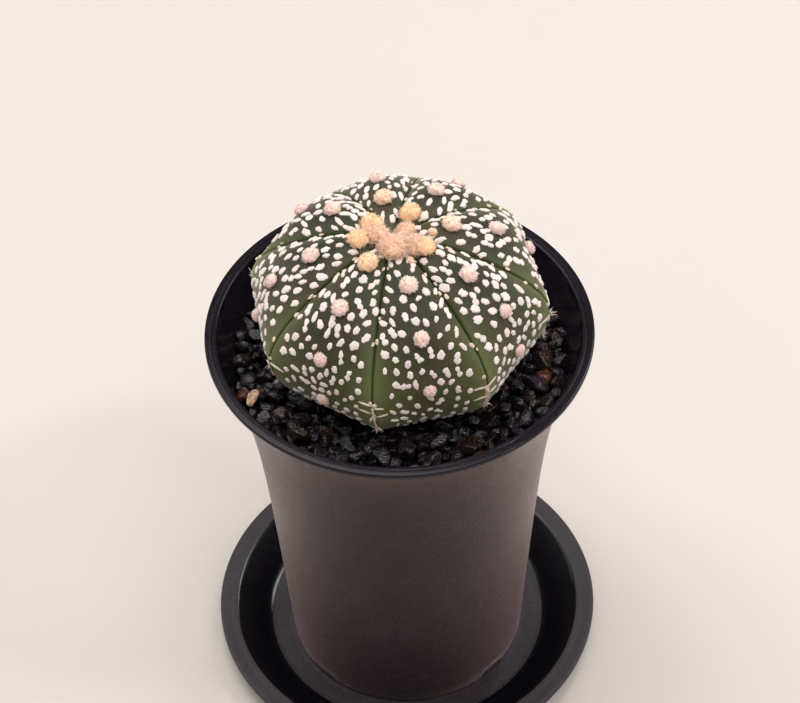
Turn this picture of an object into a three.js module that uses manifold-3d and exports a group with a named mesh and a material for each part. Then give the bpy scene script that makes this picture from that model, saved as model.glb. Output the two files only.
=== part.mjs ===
// A star cactus in a flared plastic pot with a gravel top dressing, standing in a saucer.
// Millimetres, +Z up. The origin is the middle of the saucer's flat underside; -Y is the front.

import * as THREE from 'three';
import { mergeVertices } from 'three/addons/utils/BufferGeometryUtils.js';
import Module from 'manifold-3d';

const wasm = await Module();
wasm.setup();

// ---------------------------------------------------------------- driving dimensions (mm)

const GAP = 0.3;                    // clearance between pieces that rest on each other
const TURN = 48;                    // sides of every round plastic piece

const SAUCER_RADIUS = 54.2;
const SAUCER_HEIGHT = 8.6;
const SAUCER_FLOOR = 1.8;           // thickness of the saucer's floor
const SAUCER_WELL_RADIUS = 40.1;    // flat floor inside the saucer
const SAUCER_LIP_WIDTH = 5.3;
const SAUCER_LIP_DEPTH = 1.7;

const POT_HEIGHT = 118;
const POT_WALL = 1.4;
const POT_RIM_RADIUS = 50;
const POT_LIP_WIDTH = 3.15;
const POT_LIP_DEPTH = 1.3;
const FOOT_RECESS = 2;              // how far the pot's floor is lifted over its foot ring
const FOOT_RING_WIDTH = 4;
const DRAIN_RADIUS = 3;
const DRAIN_COUNT = 6;
const DRAIN_CIRCLE = 19;
const FOOT_NOTCH_WIDTH = 7;
const FOOT_NOTCH_COUNT = 4;

const POT_BASE_Z = SAUCER_FLOOR + GAP;
const RIM_Z = POT_BASE_Z + POT_HEIGHT;

const GRAVEL_DROP = 10;             // mean gravel level below the rim
const GRAVEL_DEPTH = 6.5;
const GRAVEL_BUMP = 0.9;            // height of the lumps in the gravel's surface

const STEM_RADIUS = 38.8;           // to the grooves, at the widest level
const STEM_WIDEST = 12.6;           // that level's height over the rim
const STEM_RISE = 22;               // widest level to shoulder
const STEM_DEPTH = 26.3;            // widest level to the underside
const CROWN_DIP = 3.5;
const CROWN_DIP_RADIUS = 7;
const STEM_LEAN_FRONT = 1.4;        // degrees, crown towards the front
const STEM_LEAN_LEFT = 2.4;         // degrees, crown towards -X
const RIB_ROUND = 0.024;            // fall of a rib's upper crest towards its grooves, part of the radius
const GROOVE_CUT = 0.026;           // the sharp groove line itself, part of the radius
const GROOVE_WIDTH = 0.13;          // its width, part of half a rib
const ROOT_RADIUS = 9.5;
const ROOT_LENGTH = 46;

// Azimuths are degrees from the front, growing towards +X.
const GROOVES = [-10.5, 34, 78, 125.5, 168.5, 208.5, 254, 303];
// How flat each rib is at and under the widest level, and how full it is above: parts of the radius.
const RIB_FLATNESS = [0.095, 0.095, 0.1, 0.13, 0.11, 0.12, 0.09, 0.09];
const RIB_FULLNESS = [0, 0, 0, 0, 0.015, 0.035, 0, 0];
// Places of the areoles along each rib from the crown's middle.
const FIRST_AREOLE = [17, 9.5, 15, 8.5, 13.5, 7, 8.7, 11.3];
const AREOLE_SPACING = [13.7, 12.7, 12.2, 12.2, 12.5, 12.3, 12.3, 13.4];
const AREOLES_PER_RIB = 3;
const AREOLE_RADIUS = 2.3;
const AREOLE_HEIGHT = 1.7;
const AREOLE_AGEING = 0.1;          // each next tuft down a rib is this much smaller

const STONE_COUNT = 16;
const STONE_SEED = 41;
const TAN_STONE_INDEX = 14;         // the one pale stone, small and close to the pot's wall
const TAN_STONE_AZIMUTH = -68;
const TAN_STONE_RADIUS = 40.6;
const TAN_STONE_HALF = 1.75;

// ---------------------------------------------------------------- materials

const material = (color, roughness) =>
  new THREE.MeshStandardMaterial({ color, roughness, metalness: 0 });

const POT_PLASTIC = material(0x37332f, 0.55);
const SAUCER_PLASTIC = material(0x242226, 0.5);
const STEM_SKIN = material(0x3d4a30, 0.6);
const WOOL = material(0xe3b898, 0.95);
const LAVA = material(0x26242a, 0.7);
const TAN_STONE = material(0xb98a5c, 0.7);
const POTTING_MIX = material(0x3a2c22, 0.95);

// ---------------------------------------------------------------- helpers

const radians = THREE.MathUtils.degToRad;

/** A repeatable stream of numbers from 0 to 1. */
function randomStream(seed) {
  let state = seed;
  return () => {
    state = (state * 1664525 + 1013904223) % 4294967296;
    return state / 4294967296;
  };
}

/** A bare position-and-index copy of a geometry, with its shared vertices merged. */
function welded(geometry) {
  const bare = new THREE.BufferGeometry();
  bare.setAttribute('position', geometry.getAttribute('position').clone());
  if (geometry.index) bare.setIndex(geometry.index.clone());
  return mergeVertices(bare, 1e-4);
}

/** The closed solid for joining and cutting. */
function toSolid(geometry) {
  const source = welded(geometry);
  const vertProperties = new Float32Array(source.getAttribute('position').array);
  const triVerts = new Uint32Array(source.index.array);
  return new wasm.Manifold(new wasm.Mesh({ numProp: 3, vertProperties, triVerts }));
}

/** The geometry of a solid that has been joined or cut. */
function toGeometry(solid) {
  const mesh = solid.getMesh();
  const geometry = new THREE.BufferGeometry();
  geometry.setAttribute('position', new THREE.BufferAttribute(mesh.vertProperties, 3));
  geometry.setIndex(new THREE.BufferAttribute(mesh.triVerts, 1));
  geometry.computeVertexNormals();
  return geometry;
}

/** Turns a half section of [radius, z] points about the Z axis. */
function turned(profile) {
  const points = profile.map(([radius, z]) => new THREE.Vector2(radius, z));
  const lathe = new THREE.LatheGeometry(points, TURN);
  lathe.rotateX(Math.PI / 2);
  return welded(lathe);
}

/** Joins rows of points, from a top point down to a bottom point, into one closed skin. */
function skinned(top, rows, bottom) {
  const around = rows[0].length;
  const points = [top, ...rows.flat(), bottom];
  const last = points.length - 1;
  const index = [];
  for (let i = 0; i < around; i++) {
    const next = (i + 1) % around;
    index.push(0, 1 + i, 1 + next);
    for (let row = 0; row < rows.length - 1; row++) {
      const upper = 1 + row * around;
      const lower = upper + around;
      index.push(upper + i, lower + i, lower + next);
      index.push(upper + i, lower + next, upper + next);
    }
    const foot = 1 + (rows.length - 1) * around;
    index.push(foot + i, last, foot + next);
  }
  const geometry = new THREE.BufferGeometry();
  geometry.setAttribute('position', new THREE.Float32BufferAttribute(points.flatMap(p => p.toArray()), 3));
  geometry.setIndex(index);
  geometry.computeVertexNormals();
  return geometry;
}

/** A point at an azimuth from the front, at a radius and a height. */
function polar(azimuth, radius, z) {
  const angle = radians(azimuth);
  return new THREE.Vector3(radius * Math.sin(angle), -radius * Math.cos(angle), z);
}

// ---------------------------------------------------------------- saucer

function saucerGeometry() {
  const lip = SAUCER_RADIUS - SAUCER_LIP_WIDTH;
  const underLip = SAUCER_HEIGHT - SAUCER_LIP_DEPTH;
  return turned([
    [0, 0],
    [SAUCER_WELL_RADIUS + 0.6, 0],
    [SAUCER_WELL_RADIUS + 1.6, 0.6],
    [lip + 1.4, underLip - 0.6],
    [lip + 2.0, underLip],
    [SAUCER_RADIUS - 0.5, underLip],
    [SAUCER_RADIUS, underLip + 0.5],
    [SAUCER_RADIUS, SAUCER_HEIGHT - 0.5],
    [SAUCER_RADIUS - 0.5, SAUCER_HEIGHT],
    [lip + 0.6, SAUCER_HEIGHT],
    [lip, SAUCER_HEIGHT - 0.6],
    [SAUCER_WELL_RADIUS + 0.5, SAUCER_FLOOR + 0.4],
    [SAUCER_WELL_RADIUS - 0.5, SAUCER_FLOOR],
    [0, SAUCER_FLOOR],
  ]);
}

// ---------------------------------------------------------------- pot

/** The pot's outer radius at a depth below the rim: a straight taper and a trumpet flare. */
function potRadius(depth) {
  const taper = 40.4 - 0.0613 * depth;
  const flare = 10.2 * Math.exp(-depth / 15.9);
  return taper + flare;
}

function potShell() {
  const depths = [2.2, 6, 12, 20, 32, 50, 80, POT_HEIGHT - 1.2];
  const foot = potRadius(POT_HEIGHT) - 0.6;
  const outer = depths.map(depth => [potRadius(depth), RIM_Z - depth]).reverse();
  const floorZ = POT_BASE_Z + FOOT_RECESS;
  const wallTop = POT_RIM_RADIUS - POT_LIP_WIDTH;
  const inner = depths.slice(1, -1).map(depth => [potRadius(depth) - POT_WALL, RIM_Z - depth]);
  const innerFoot = potRadius(POT_HEIGHT - FOOT_RECESS) - POT_WALL;
  return [
    [0, floorZ],
    [foot - FOOT_RING_WIDTH, floorZ],
    [foot - FOOT_RING_WIDTH + 0.4, POT_BASE_Z],
    [foot, POT_BASE_Z],
    ...outer,
    [POT_RIM_RADIUS - 0.4, RIM_Z - POT_LIP_DEPTH - 0.2],
    [POT_RIM_RADIUS, RIM_Z - POT_LIP_DEPTH],
    [POT_RIM_RADIUS, RIM_Z - 0.4],
    [POT_RIM_RADIUS - 0.4, RIM_Z],
    [wallTop + 0.5, RIM_Z],
    [wallTop, RIM_Z - 0.6],
    ...inner,
    [innerFoot, floorZ + POT_WALL + 1],
    [innerFoot - 1, floorZ + POT_WALL],
    [0, floorZ + POT_WALL],
  ];
}

function potGeometry() {
  let pot = toSolid(turned(potShell()));
  const floorMiddle = POT_BASE_Z + FOOT_RECESS + POT_WALL / 2;
  for (let i = 0; i < DRAIN_COUNT; i++) {
    const drill = new THREE.CylinderGeometry(DRAIN_RADIUS, DRAIN_RADIUS, 3 * POT_WALL, 20);
    drill.rotateX(Math.PI / 2);
    const place = polar(i * 360 / DRAIN_COUNT, DRAIN_CIRCLE, floorMiddle);
    drill.translate(place.x, place.y, place.z);
    pot = pot.subtract(toSolid(drill));
  }
  const ringMiddle = potRadius(POT_HEIGHT) - FOOT_RING_WIDTH / 2;
  for (let i = 0; i < FOOT_NOTCH_COUNT; i++) {
    const notch = new THREE.BoxGeometry(FOOT_NOTCH_WIDTH, 3 * FOOT_RING_WIDTH, 1.6);
    const azimuth = 45 + i * 360 / FOOT_NOTCH_COUNT;
    notch.rotateZ(radians(azimuth));
    const place = polar(azimuth, ringMiddle, POT_BASE_Z + 0.4);
    notch.translate(place.x, place.y, place.z);
    pot = pot.subtract(toSolid(notch));
  }
  return toGeometry(pot);
}

// ---------------------------------------------------------------- stem

/** Which rib an azimuth is on, and how near its groove: 0 on the crest, 1 in the groove. */
function ribAt(azimuth) {
  const turn = THREE.MathUtils.euclideanModulo(azimuth - GROOVES[0], 360) + GROOVES[0];
  let rib = GROOVES.length - 1;
  while (turn < GROOVES[rib]) rib--;
  const start = GROOVES[rib];
  const end = rib + 1 < GROOVES.length ? GROOVES[rib + 1] : GROOVES[0] + 360;
  const across = (turn - start) / (end - start);
  return { rib, edge: Math.abs(2 * across - 1) };
}

function ribMiddle(rib) {
  const end = rib + 1 < GROOVES.length ? GROOVES[rib + 1] : GROOVES[0] + 360;
  return (GROOVES[rib] + end) / 2;
}

/** Radius and height over the widest level, at an angle down from the crown's axis. */
function stemProfile(polarAngle, swell) {
  const sine = Math.sin(polarAngle);
  const cosine = Math.cos(polarAngle);
  const power = cosine >= 0 ? 1.74 : 2.27;
  const reach = Math.pow(Math.pow(sine, power) + Math.pow(Math.abs(cosine), power), -1 / power);
  const radius = STEM_RADIUS * sine * reach;
  const height = (cosine >= 0 ? STEM_RISE : STEM_DEPTH) * cosine * reach;
  const dip = CROWN_DIP * Math.exp(-Math.pow(radius / CROWN_DIP_RADIUS, 2));
  return { radius: radius + swell * sine, height: height - dip + swell * cosine };
}

const STEM_MIDDLE = new THREE.Vector3(-0.15, 0.24, RIM_Z + STEM_WIDEST);
const STEM_LEAN = new THREE.Euler(radians(STEM_LEAN_FRONT), -radians(STEM_LEAN_LEFT), 0);

/** A point of the ribbed stem, leaning as the plant does. */
function stemPoint(azimuth, polarAngle, swell = 0) {
  const { radius, height } = stemProfile(polarAngle, swell);
  const { rib, edge } = ribAt(azimuth);
  const low = THREE.MathUtils.smoothstep(THREE.MathUtils.radToDeg(polarAngle), 40, 90);
  const crest = 1 - edge * edge;
  const shape = 1 + crest * (RIB_FULLNESS[rib] * (1 - low) * Math.sin(polarAngle) - RIB_FLATNESS[rib] * low);
  const groove = Math.exp(-Math.pow((1 - edge) / GROOVE_WIDTH, 1.2));
  const fade = THREE.MathUtils.smoothstep(radius, 2, 11);
  const cut = (RIB_ROUND * (1 - low) * Math.pow(edge, 2.6) + GROOVE_CUT * groove) * fade;
  const fall = STEM_RADIUS * cut * Math.max(0, Math.cos(polarAngle));
  const point = polar(azimuth, radius * (shape - cut), height - fall);
  return point.applyEuler(STEM_LEAN).add(STEM_MIDDLE);
}

/** Stem and taproot in one grown piece; swell makes the larger copy that cuts its bed. */
function plantGeometry(swell = 0) {
  const stepsPerRib = 8;
  const stemRows = 16;
  const lowest = radians(166);
  const azimuths = GROOVES.flatMap((start, rib) => {
    const width = 2 * (ribMiddle(rib) - start);
    return Array.from({ length: stepsPerRib }, (_, i) => start + width * i / stepsPerRib);
  });
  const rows = [];
  for (let row = 1; row <= stemRows; row++) {
    const angle = lowest * row / stemRows;
    rows.push(azimuths.map(azimuth => stemPoint(azimuth, angle, swell)));
  }
  const footZ = rows.at(-1).reduce((sum, point) => sum + point.z, 0) / azimuths.length;
  for (const [part, share] of [[0.12, 0.9], [0.4, 0.72], [0.7, 0.42], [0.93, 0.16]]) {
    const radius = ROOT_RADIUS * share + swell;
    rows.push(azimuths.map(azimuth => polar(azimuth, radius, footZ - ROOT_LENGTH * part)));
  }
  const tip = new THREE.Vector3(0, 0, footZ - ROOT_LENGTH - swell);
  return skinned(stemPoint(0, 0, swell), rows, tip);
}

const PLANT_CUTTER = toSolid(plantGeometry(GAP));

// ---------------------------------------------------------------- wool

/** A flattened ball of wool seated on the stem at an azimuth and an angle from the crown. */
function tuftGeometry(azimuth, polarAngle, radius, height) {
  const seat = stemPoint(azimuth, polarAngle);
  const along = stemPoint(azimuth, polarAngle + 0.02).sub(seat);
  const aside = stemPoint(azimuth + 1, polarAngle).sub(seat);
  const outward = along.cross(aside).normalize();
  const ball = new THREE.SphereGeometry(1, 8, 5);
  ball.rotateX(Math.PI / 2);
  ball.scale(radius, radius, height);
  ball.applyQuaternion(new THREE.Quaternion().setFromUnitVectors(new THREE.Vector3(0, 0, 1), outward));
  ball.translate(seat.x, seat.y, seat.z);
  return toGeometry(toSolid(ball).subtract(PLANT_CUTTER));
}

/** The angle from the crown that lies a given way along a rib's crest. */
function angleAtArc(rib, arc) {
  const azimuth = ribMiddle(rib);
  const step = 0.005;
  let angle = 0;
  let travelled = 0;
  let previous = stemPoint(azimuth, 0);
  while (travelled < arc) {
    angle += step;
    const next = stemPoint(azimuth, angle);
    travelled += next.distanceTo(previous);
    previous = next;
  }
  return angle;
}

// ---------------------------------------------------------------- gravel and potting mix

/** A lumpy stone with its own proportions, lying at a place. */
function stoneGeometry(place, half, random) {
  const ball = welded(new THREE.IcosahedronGeometry(1, 1));
  const positions = ball.getAttribute('position');
  const corner = new THREE.Vector3();
  for (let i = 0; i < positions.count; i++) {
    corner.fromBufferAttribute(positions, i).multiplyScalar(0.86 + 0.2 * random());
    positions.setXYZ(i, corner.x, corner.y, corner.z);
  }
  ball.scale(half * (0.95 + 0.35 * random()), half * (0.75 + 0.2 * random()), half * 0.75);
  ball.rotateZ(2 * Math.PI * random());
  ball.rotateX(0.3 * (random() - 0.5));
  ball.translate(place.x, place.y, place.z);
  return ball;
}

/** Every stone that lies loose on the bed, alternately nearer the pot and nearer the plant. */
function looseStones() {
  const random = randomStream(STONE_SEED);
  return Array.from({ length: STONE_COUNT }, (_, i) => {
    const tan = i === TAN_STONE_INDEX;
    const room = i === TAN_STONE_INDEX - 1 ? i + 1 : i;   // the next stone keeps clear of the tan one
    const azimuth = tan ? TAN_STONE_AZIMUTH : (room + 0.3 * random()) * 360 / STONE_COUNT;
    const half = tan ? TAN_STONE_HALF : 2 + 1.1 * random();
    const radius = tan ? TAN_STONE_RADIUS : i % 2 ? 37.6 : 33.6;
    const place = polar(azimuth, radius, RIM_Z - GRAVEL_DROP + 1.3);
    return { place, half, geometry: stoneGeometry(place, half, random) };
  });
}

function bumpAt(x, y) {
  const coarse = Math.sin(0.9 * x + 0.5 * y) * Math.cos(0.8 * y - 0.3 * x);
  const fine = Math.sin(1.9 * x - 1.3 * y + 1) * Math.cos(1.7 * y + 0.6 * x);
  return GRAVEL_BUMP * (0.6 * coarse + 0.4 * fine);
}

/** The layer of small stones as one bed, hollowed for the plant and the loose stones. */
function gravelGeometry(stones) {
  const around = 48;
  const radii = [12, 22, 29, 33, 37, 41];
  const top = RIM_Z - GRAVEL_DROP;
  const bottom = top - GRAVEL_DEPTH;
  const edge = potRadius(GRAVEL_DROP + GRAVEL_DEPTH) - POT_WALL - GAP - 0.1;
  const azimuths = Array.from({ length: around }, (_, i) => i * 360 / around);
  const rows = radii.map(radius => azimuths.map(azimuth => {
    const point = polar(azimuth, radius, top);
    point.z += bumpAt(point.x, point.y);
    return point;
  }));
  rows.push(azimuths.map(azimuth => polar(azimuth, edge, top - 0.8)));
  rows.push(azimuths.map(azimuth => polar(azimuth, edge, bottom)));
  let bed = toSolid(skinned(new THREE.Vector3(0, 0, top), rows, new THREE.Vector3(0, 0, bottom)));
  bed = bed.subtract(PLANT_CUTTER);
  for (const { place, half, geometry } of stones) {
    const cutter = geometry.clone();
    const grow = 1 + 1.5 * GAP / (0.6 * half);
    cutter.translate(-place.x, -place.y, -place.z);
    cutter.scale(grow, grow, grow);
    cutter.translate(place.x, place.y, place.z);
    bed = bed.subtract(toSolid(cutter));
  }
  return toGeometry(bed);
}

/** The growing mix, which fills the pot from its floor to the gravel and holds the root. */
function mixGeometry() {
  const floor = POT_BASE_Z + FOOT_RECESS + POT_WALL + GAP;
  const depths = [GRAVEL_DROP + GRAVEL_DEPTH + GAP, 32, 50, 80];
  const inside = depth => potRadius(depth) - POT_WALL - GAP - 0.15;
  const wall = depths.map(depth => [inside(depth), RIM_Z - depth]).reverse();
  const foot = inside(POT_HEIGHT - FOOT_RECESS);
  const mix = turned([
    [0, floor],
    [foot - 1.4, floor],
    [foot, floor + 1.4],
    ...wall,
    [0, RIM_Z - depths[0]],
  ]);
  return toGeometry(toSolid(mix).subtract(PLANT_CUTTER));
}

// ---------------------------------------------------------------- assembly

const plant = new THREE.Group();

function add(name, geometry, finish) {
  const mesh = new THREE.Mesh(geometry, finish);
  mesh.name = name;
  plant.add(mesh);
}

add('saucer', saucerGeometry(), SAUCER_PLASTIC);
add('pot', potGeometry(), POT_PLASTIC);
add('potting_mix', mixGeometry(), POTTING_MIX);

const stones = looseStones();
add('gravel_bed', gravelGeometry(stones), LAVA);
stones.forEach(({ geometry }, i) => {
  const name = `loose_stone_${String(i + 1).padStart(2, '0')}`;
  add(name, geometry, i === TAN_STONE_INDEX ? TAN_STONE : LAVA);
});

add('cactus_stem', plantGeometry(), STEM_SKIN);
add('crown_wool', tuftGeometry(0, angleAtArc(0, 2), 5.2, 3.6), WOOL);
GROOVES.forEach((_, rib) => {
  for (let i = 0; i < AREOLES_PER_RIB; i++) {
    const angle = angleAtArc(rib, FIRST_AREOLE[rib] + i * AREOLE_SPACING[rib]);
    const size = 1 - AREOLE_AGEING * i;
    const name = `areole_rib${rib + 1}_${i + 1}`;
    add(name, tuftGeometry(ribMiddle(rib), angle, AREOLE_RADIUS * size, AREOLE_HEIGHT * size), WOOL);
  }
});

export default plant;
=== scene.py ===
"""A star cactus in a flared pot of black gravel, standing in a saucer.

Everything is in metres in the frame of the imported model: +Z up, the origin under the
middle of the saucer, -Y the front. Azimuths are degrees from the front, growing towards +X.
"""

import logging
import math
from dataclasses import dataclass, field
from enum import Enum

import bmesh
import bpy
import numpy as np
from mathutils import Matrix, Vector, noise

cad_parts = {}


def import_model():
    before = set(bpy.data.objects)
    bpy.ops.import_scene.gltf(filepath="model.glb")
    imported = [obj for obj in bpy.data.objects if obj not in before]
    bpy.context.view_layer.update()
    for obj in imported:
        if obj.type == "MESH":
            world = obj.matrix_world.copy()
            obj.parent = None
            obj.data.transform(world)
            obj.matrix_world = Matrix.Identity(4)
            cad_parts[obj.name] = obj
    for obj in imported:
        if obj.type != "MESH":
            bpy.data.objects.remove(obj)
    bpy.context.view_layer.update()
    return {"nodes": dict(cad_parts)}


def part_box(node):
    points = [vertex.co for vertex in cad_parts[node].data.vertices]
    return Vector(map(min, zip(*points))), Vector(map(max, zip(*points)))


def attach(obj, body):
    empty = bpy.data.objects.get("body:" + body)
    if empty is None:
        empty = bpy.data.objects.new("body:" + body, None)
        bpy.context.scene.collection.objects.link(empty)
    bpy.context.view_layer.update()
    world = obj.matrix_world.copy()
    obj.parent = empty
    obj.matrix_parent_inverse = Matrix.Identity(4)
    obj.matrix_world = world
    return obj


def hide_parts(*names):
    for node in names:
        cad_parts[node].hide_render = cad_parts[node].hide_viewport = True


LOG = logging.getLogger("potted_star_cactus")
MM = 0.001
BODY = "root"
TINT = "tint"
CORNER_SHARE = 0.49
FIBRE_CORNERS = 7
FIBRE_WAIST = 0.75

Colour = tuple[float, float, float]
Band = tuple[float, float]


# ------------------------------------------------------------------ meshes


def mesh_object(name: str, points: np.ndarray, groups: list[np.ndarray]) -> bpy.types.Object:
    """Makes a smooth-shaded mesh object from arrays.

    Args:
        name: the piece's name.
        points: (n, 3) corner places in metres.
        groups: arrays of faces, each (m, sides), as rows of corner indices.

    Returns:
        The new object, linked to the scene.
    """
    mesh = bpy.data.meshes.new(name)
    loops = np.concatenate([group.ravel() for group in groups]).astype(np.int32)
    sides = np.concatenate([np.full(len(group), group.shape[1]) for group in groups])
    starts = np.concatenate([[0], np.cumsum(sides)[:-1]]).astype(np.int32)
    mesh.vertices.add(len(points))
    mesh.vertices.foreach_set("co", np.asarray(points, np.float32).ravel())
    mesh.loops.add(len(loops))
    mesh.loops.foreach_set("vertex_index", loops)
    mesh.polygons.add(len(sides))
    mesh.polygons.foreach_set("loop_start", starts)
    mesh.update(calc_edges=True)
    mesh.validate()
    mesh.shade_smooth()
    piece = bpy.data.objects.new(name, mesh)
    bpy.context.scene.collection.objects.link(piece)
    return piece


def paint(piece: bpy.types.Object, name: str, values: np.ndarray) -> None:
    """Stores a number for each corner, for the piece's material to read.

    Args:
        piece: the mesh object.
        name: the attribute's name.
        values: one number for each corner.
    """
    layer = piece.data.attributes.new(name, "FLOAT", "POINT")
    layer.data.foreach_set("value", np.asarray(values, np.float32))


def paint_colour(piece: bpy.types.Object, name: str, colours: np.ndarray) -> None:
    """Stores a colour for each corner, for the piece's material to read.

    Args:
        piece: the mesh object.
        name: the attribute's name.
        colours: (n, 3) linear colours.
    """
    layer = piece.data.attributes.new(name, "FLOAT_COLOR", "POINT")
    full = np.concatenate([colours, np.ones((len(colours), 1))], axis=1)
    layer.data.foreach_set("color", np.asarray(full, np.float32).ravel())


def ring_faces(rings: int, around: int, start: int = 0) -> np.ndarray:
    """Makes quads that join stacked closed rings of corners, each ring following the last.

    Args:
        rings: the number of rings.
        around: the number of corners on each ring.
        start: the first ring's first corner.

    Returns:
        (n, 4) corner indices.
    """
    row = np.arange(rings - 1)[:, None] * around
    column = np.arange(around)[None, :]
    following = (column + 1) % around
    corners = [row + column, row + around + column, row + around + following, row + following]
    return np.stack(corners, axis=-1).reshape(-1, 4) + start


def cap_faces(centre: int, ring_start: int, around: int, outward: bool) -> np.ndarray:
    """Makes triangles that close a ring onto one corner.

    Args:
        centre: the corner they meet in.
        ring_start: the ring's first corner.
        around: the number of corners on the ring.
        outward: whether they keep the ring's own turning sense.

    Returns:
        (n, 3) corner indices.
    """
    column = np.arange(around) + ring_start
    following = (np.arange(around) + 1) % around + ring_start
    pole = np.full(around, centre)
    order = [pole, column, following] if outward else [pole, following, column]
    return np.stack(order, axis=-1)


def turned_object(
    name: str, profile: list[tuple[float, float]], around: int = 192
) -> bpy.types.Object:
    """Turns a closed half section about the Z axis.

    Args:
        name: the piece's name.
        profile: (radius, z) in metres, from the axis out and round and back to the axis.
        around: the number of corners round the axis.

    Returns:
        The new closed mesh object.
    """
    section = np.array(profile[1:-1])
    angle = np.linspace(0, 2 * math.pi, around, endpoint=False)
    radius = section[:, 0][:, None]
    x = radius * np.sin(angle)
    y = -radius * np.cos(angle)
    z = np.broadcast_to(section[:, 1][:, None], x.shape)
    rings = np.stack([x, y, z], axis=-1).reshape(-1, 3)
    ends = np.array([[0, 0, profile[0][1]], [0, 0, profile[-1][1]]])
    points = np.concatenate([rings, ends])
    count = len(section)
    quads = ring_faces(count, around)[:, ::-1]
    first = cap_faces(len(rings), 0, around, False)
    last = cap_faces(len(rings) + 1, (count - 1) * around, around, True)
    return mesh_object(name, points, [quads, first, last])


def rounded(profile: list[tuple[float, float, float]], steps: int = 6) -> list[tuple[float, float]]:
    """Rounds the corners of a half section.

    Args:
        profile: (radius, z, corner radius) points, all in the same unit.
        steps: the points on each rounded corner.

    Returns:
        The (radius, z) points with arcs in place of the corners.
    """
    result: list[tuple[float, float]] = []
    for i, (radius, z, corner) in enumerate(profile):
        here = Vector((radius, z))
        if corner <= 0 or i in (0, len(profile) - 1):
            result.append((radius, z))
            continue
        before = Vector(profile[i - 1][:2]) - here
        after = Vector(profile[i + 1][:2]) - here
        reach = min(corner, CORNER_SHARE * before.length, CORNER_SHARE * after.length)
        start = here + before.normalized() * reach
        end = here + after.normalized() * reach
        for k in range(steps + 1):
            t = k / steps
            point = (1 - t) ** 2 * start + 2 * t * (1 - t) * here + t * t * end
            result.append((point.x, point.y))
    return result


def polar(azimuth: float, radius: float, z: float) -> Vector:
    """A point at an azimuth in degrees, a radius and a height."""
    angle = math.radians(azimuth)
    return Vector((radius * math.sin(angle), -radius * math.cos(angle), z))


@dataclass
class Soup:
    """Many small closed shapes gathered into one mesh, each with its own colours."""

    points: list[np.ndarray] = field(default_factory=list)
    groups: dict[int, list[np.ndarray]] = field(default_factory=dict)
    colours: list[np.ndarray] = field(default_factory=list)
    count: int = 0

    def add(self, points: np.ndarray, groups: list[np.ndarray], colour: np.ndarray) -> None:
        """Adds one shape.

        Args:
            points: its (n, 3) corners.
            groups: its faces, by number of sides.
            colour: one linear colour, or one for each corner.
        """
        for group in groups:
            self.groups.setdefault(group.shape[1], []).append(group + self.count)
        self.points.append(points)
        self.colours.append(np.broadcast_to(colour, points.shape))
        self.count += len(points)

    def make(self, name: str) -> bpy.types.Object:
        """Makes the object that holds every shape added so far.

        Args:
            name: the piece's name.

        Returns:
            The new object, with its colours painted on.
        """
        groups = [np.concatenate(parts) for parts in self.groups.values()]
        piece = mesh_object(name, np.concatenate(self.points), groups)
        paint_colour(piece, TINT, np.concatenate(self.colours))
        return piece


def fibre_shapes(
    starts: np.ndarray, ends: np.ndarray, bow: np.ndarray, radius: float
) -> tuple[np.ndarray, list[np.ndarray]]:
    """Thin three-sided hairs that taper to a point.

    Args:
        starts: (n, 3) roots.
        ends: (n, 3) tips.
        bow: (n, 3) how far the middle of each hair is pushed aside.
        radius: the radius at the root.

    Returns:
        The corners and the faces by number of sides.
    """
    count = len(starts)
    along = ends - starts
    along /= np.linalg.norm(along, axis=1, keepdims=True) + 1e-12
    helper = np.where(np.abs(along[:, 2:3]) < 0.9, [[0.0, 0.0, 1.0]], [[1.0, 0.0, 0.0]])
    side = np.cross(along, helper)
    side /= np.linalg.norm(side, axis=1, keepdims=True)
    other = np.cross(along, side)
    turns = np.arange(3) * 2 * math.pi / 3
    cosines = np.cos(turns)[None, :, None]
    sines = np.sin(turns)[None, :, None]
    round_way = side[:, None] * cosines + other[:, None] * sines
    middle = (starts + ends) / 2 + bow
    low = starts[:, None] + round_way * radius
    mid = middle[:, None] + round_way * radius * FIBRE_WAIST
    points = np.concatenate([low, mid, ends[:, None]], axis=1).reshape(-1, 3)
    base = np.arange(count)[:, None] * FIBRE_CORNERS
    quads = np.array([[0, 1, 4, 3], [1, 2, 5, 4], [2, 0, 3, 5]])
    tips = np.array([[3, 4, 6], [4, 5, 6], [5, 3, 6], [2, 1, 0]])
    four = (base[:, None] + quads[None]).reshape(-1, 4)
    three = (base[:, None] + tips[None]).reshape(-1, 3)
    return points, [four, three]


# ------------------------------------------------------------------ finishes


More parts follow.
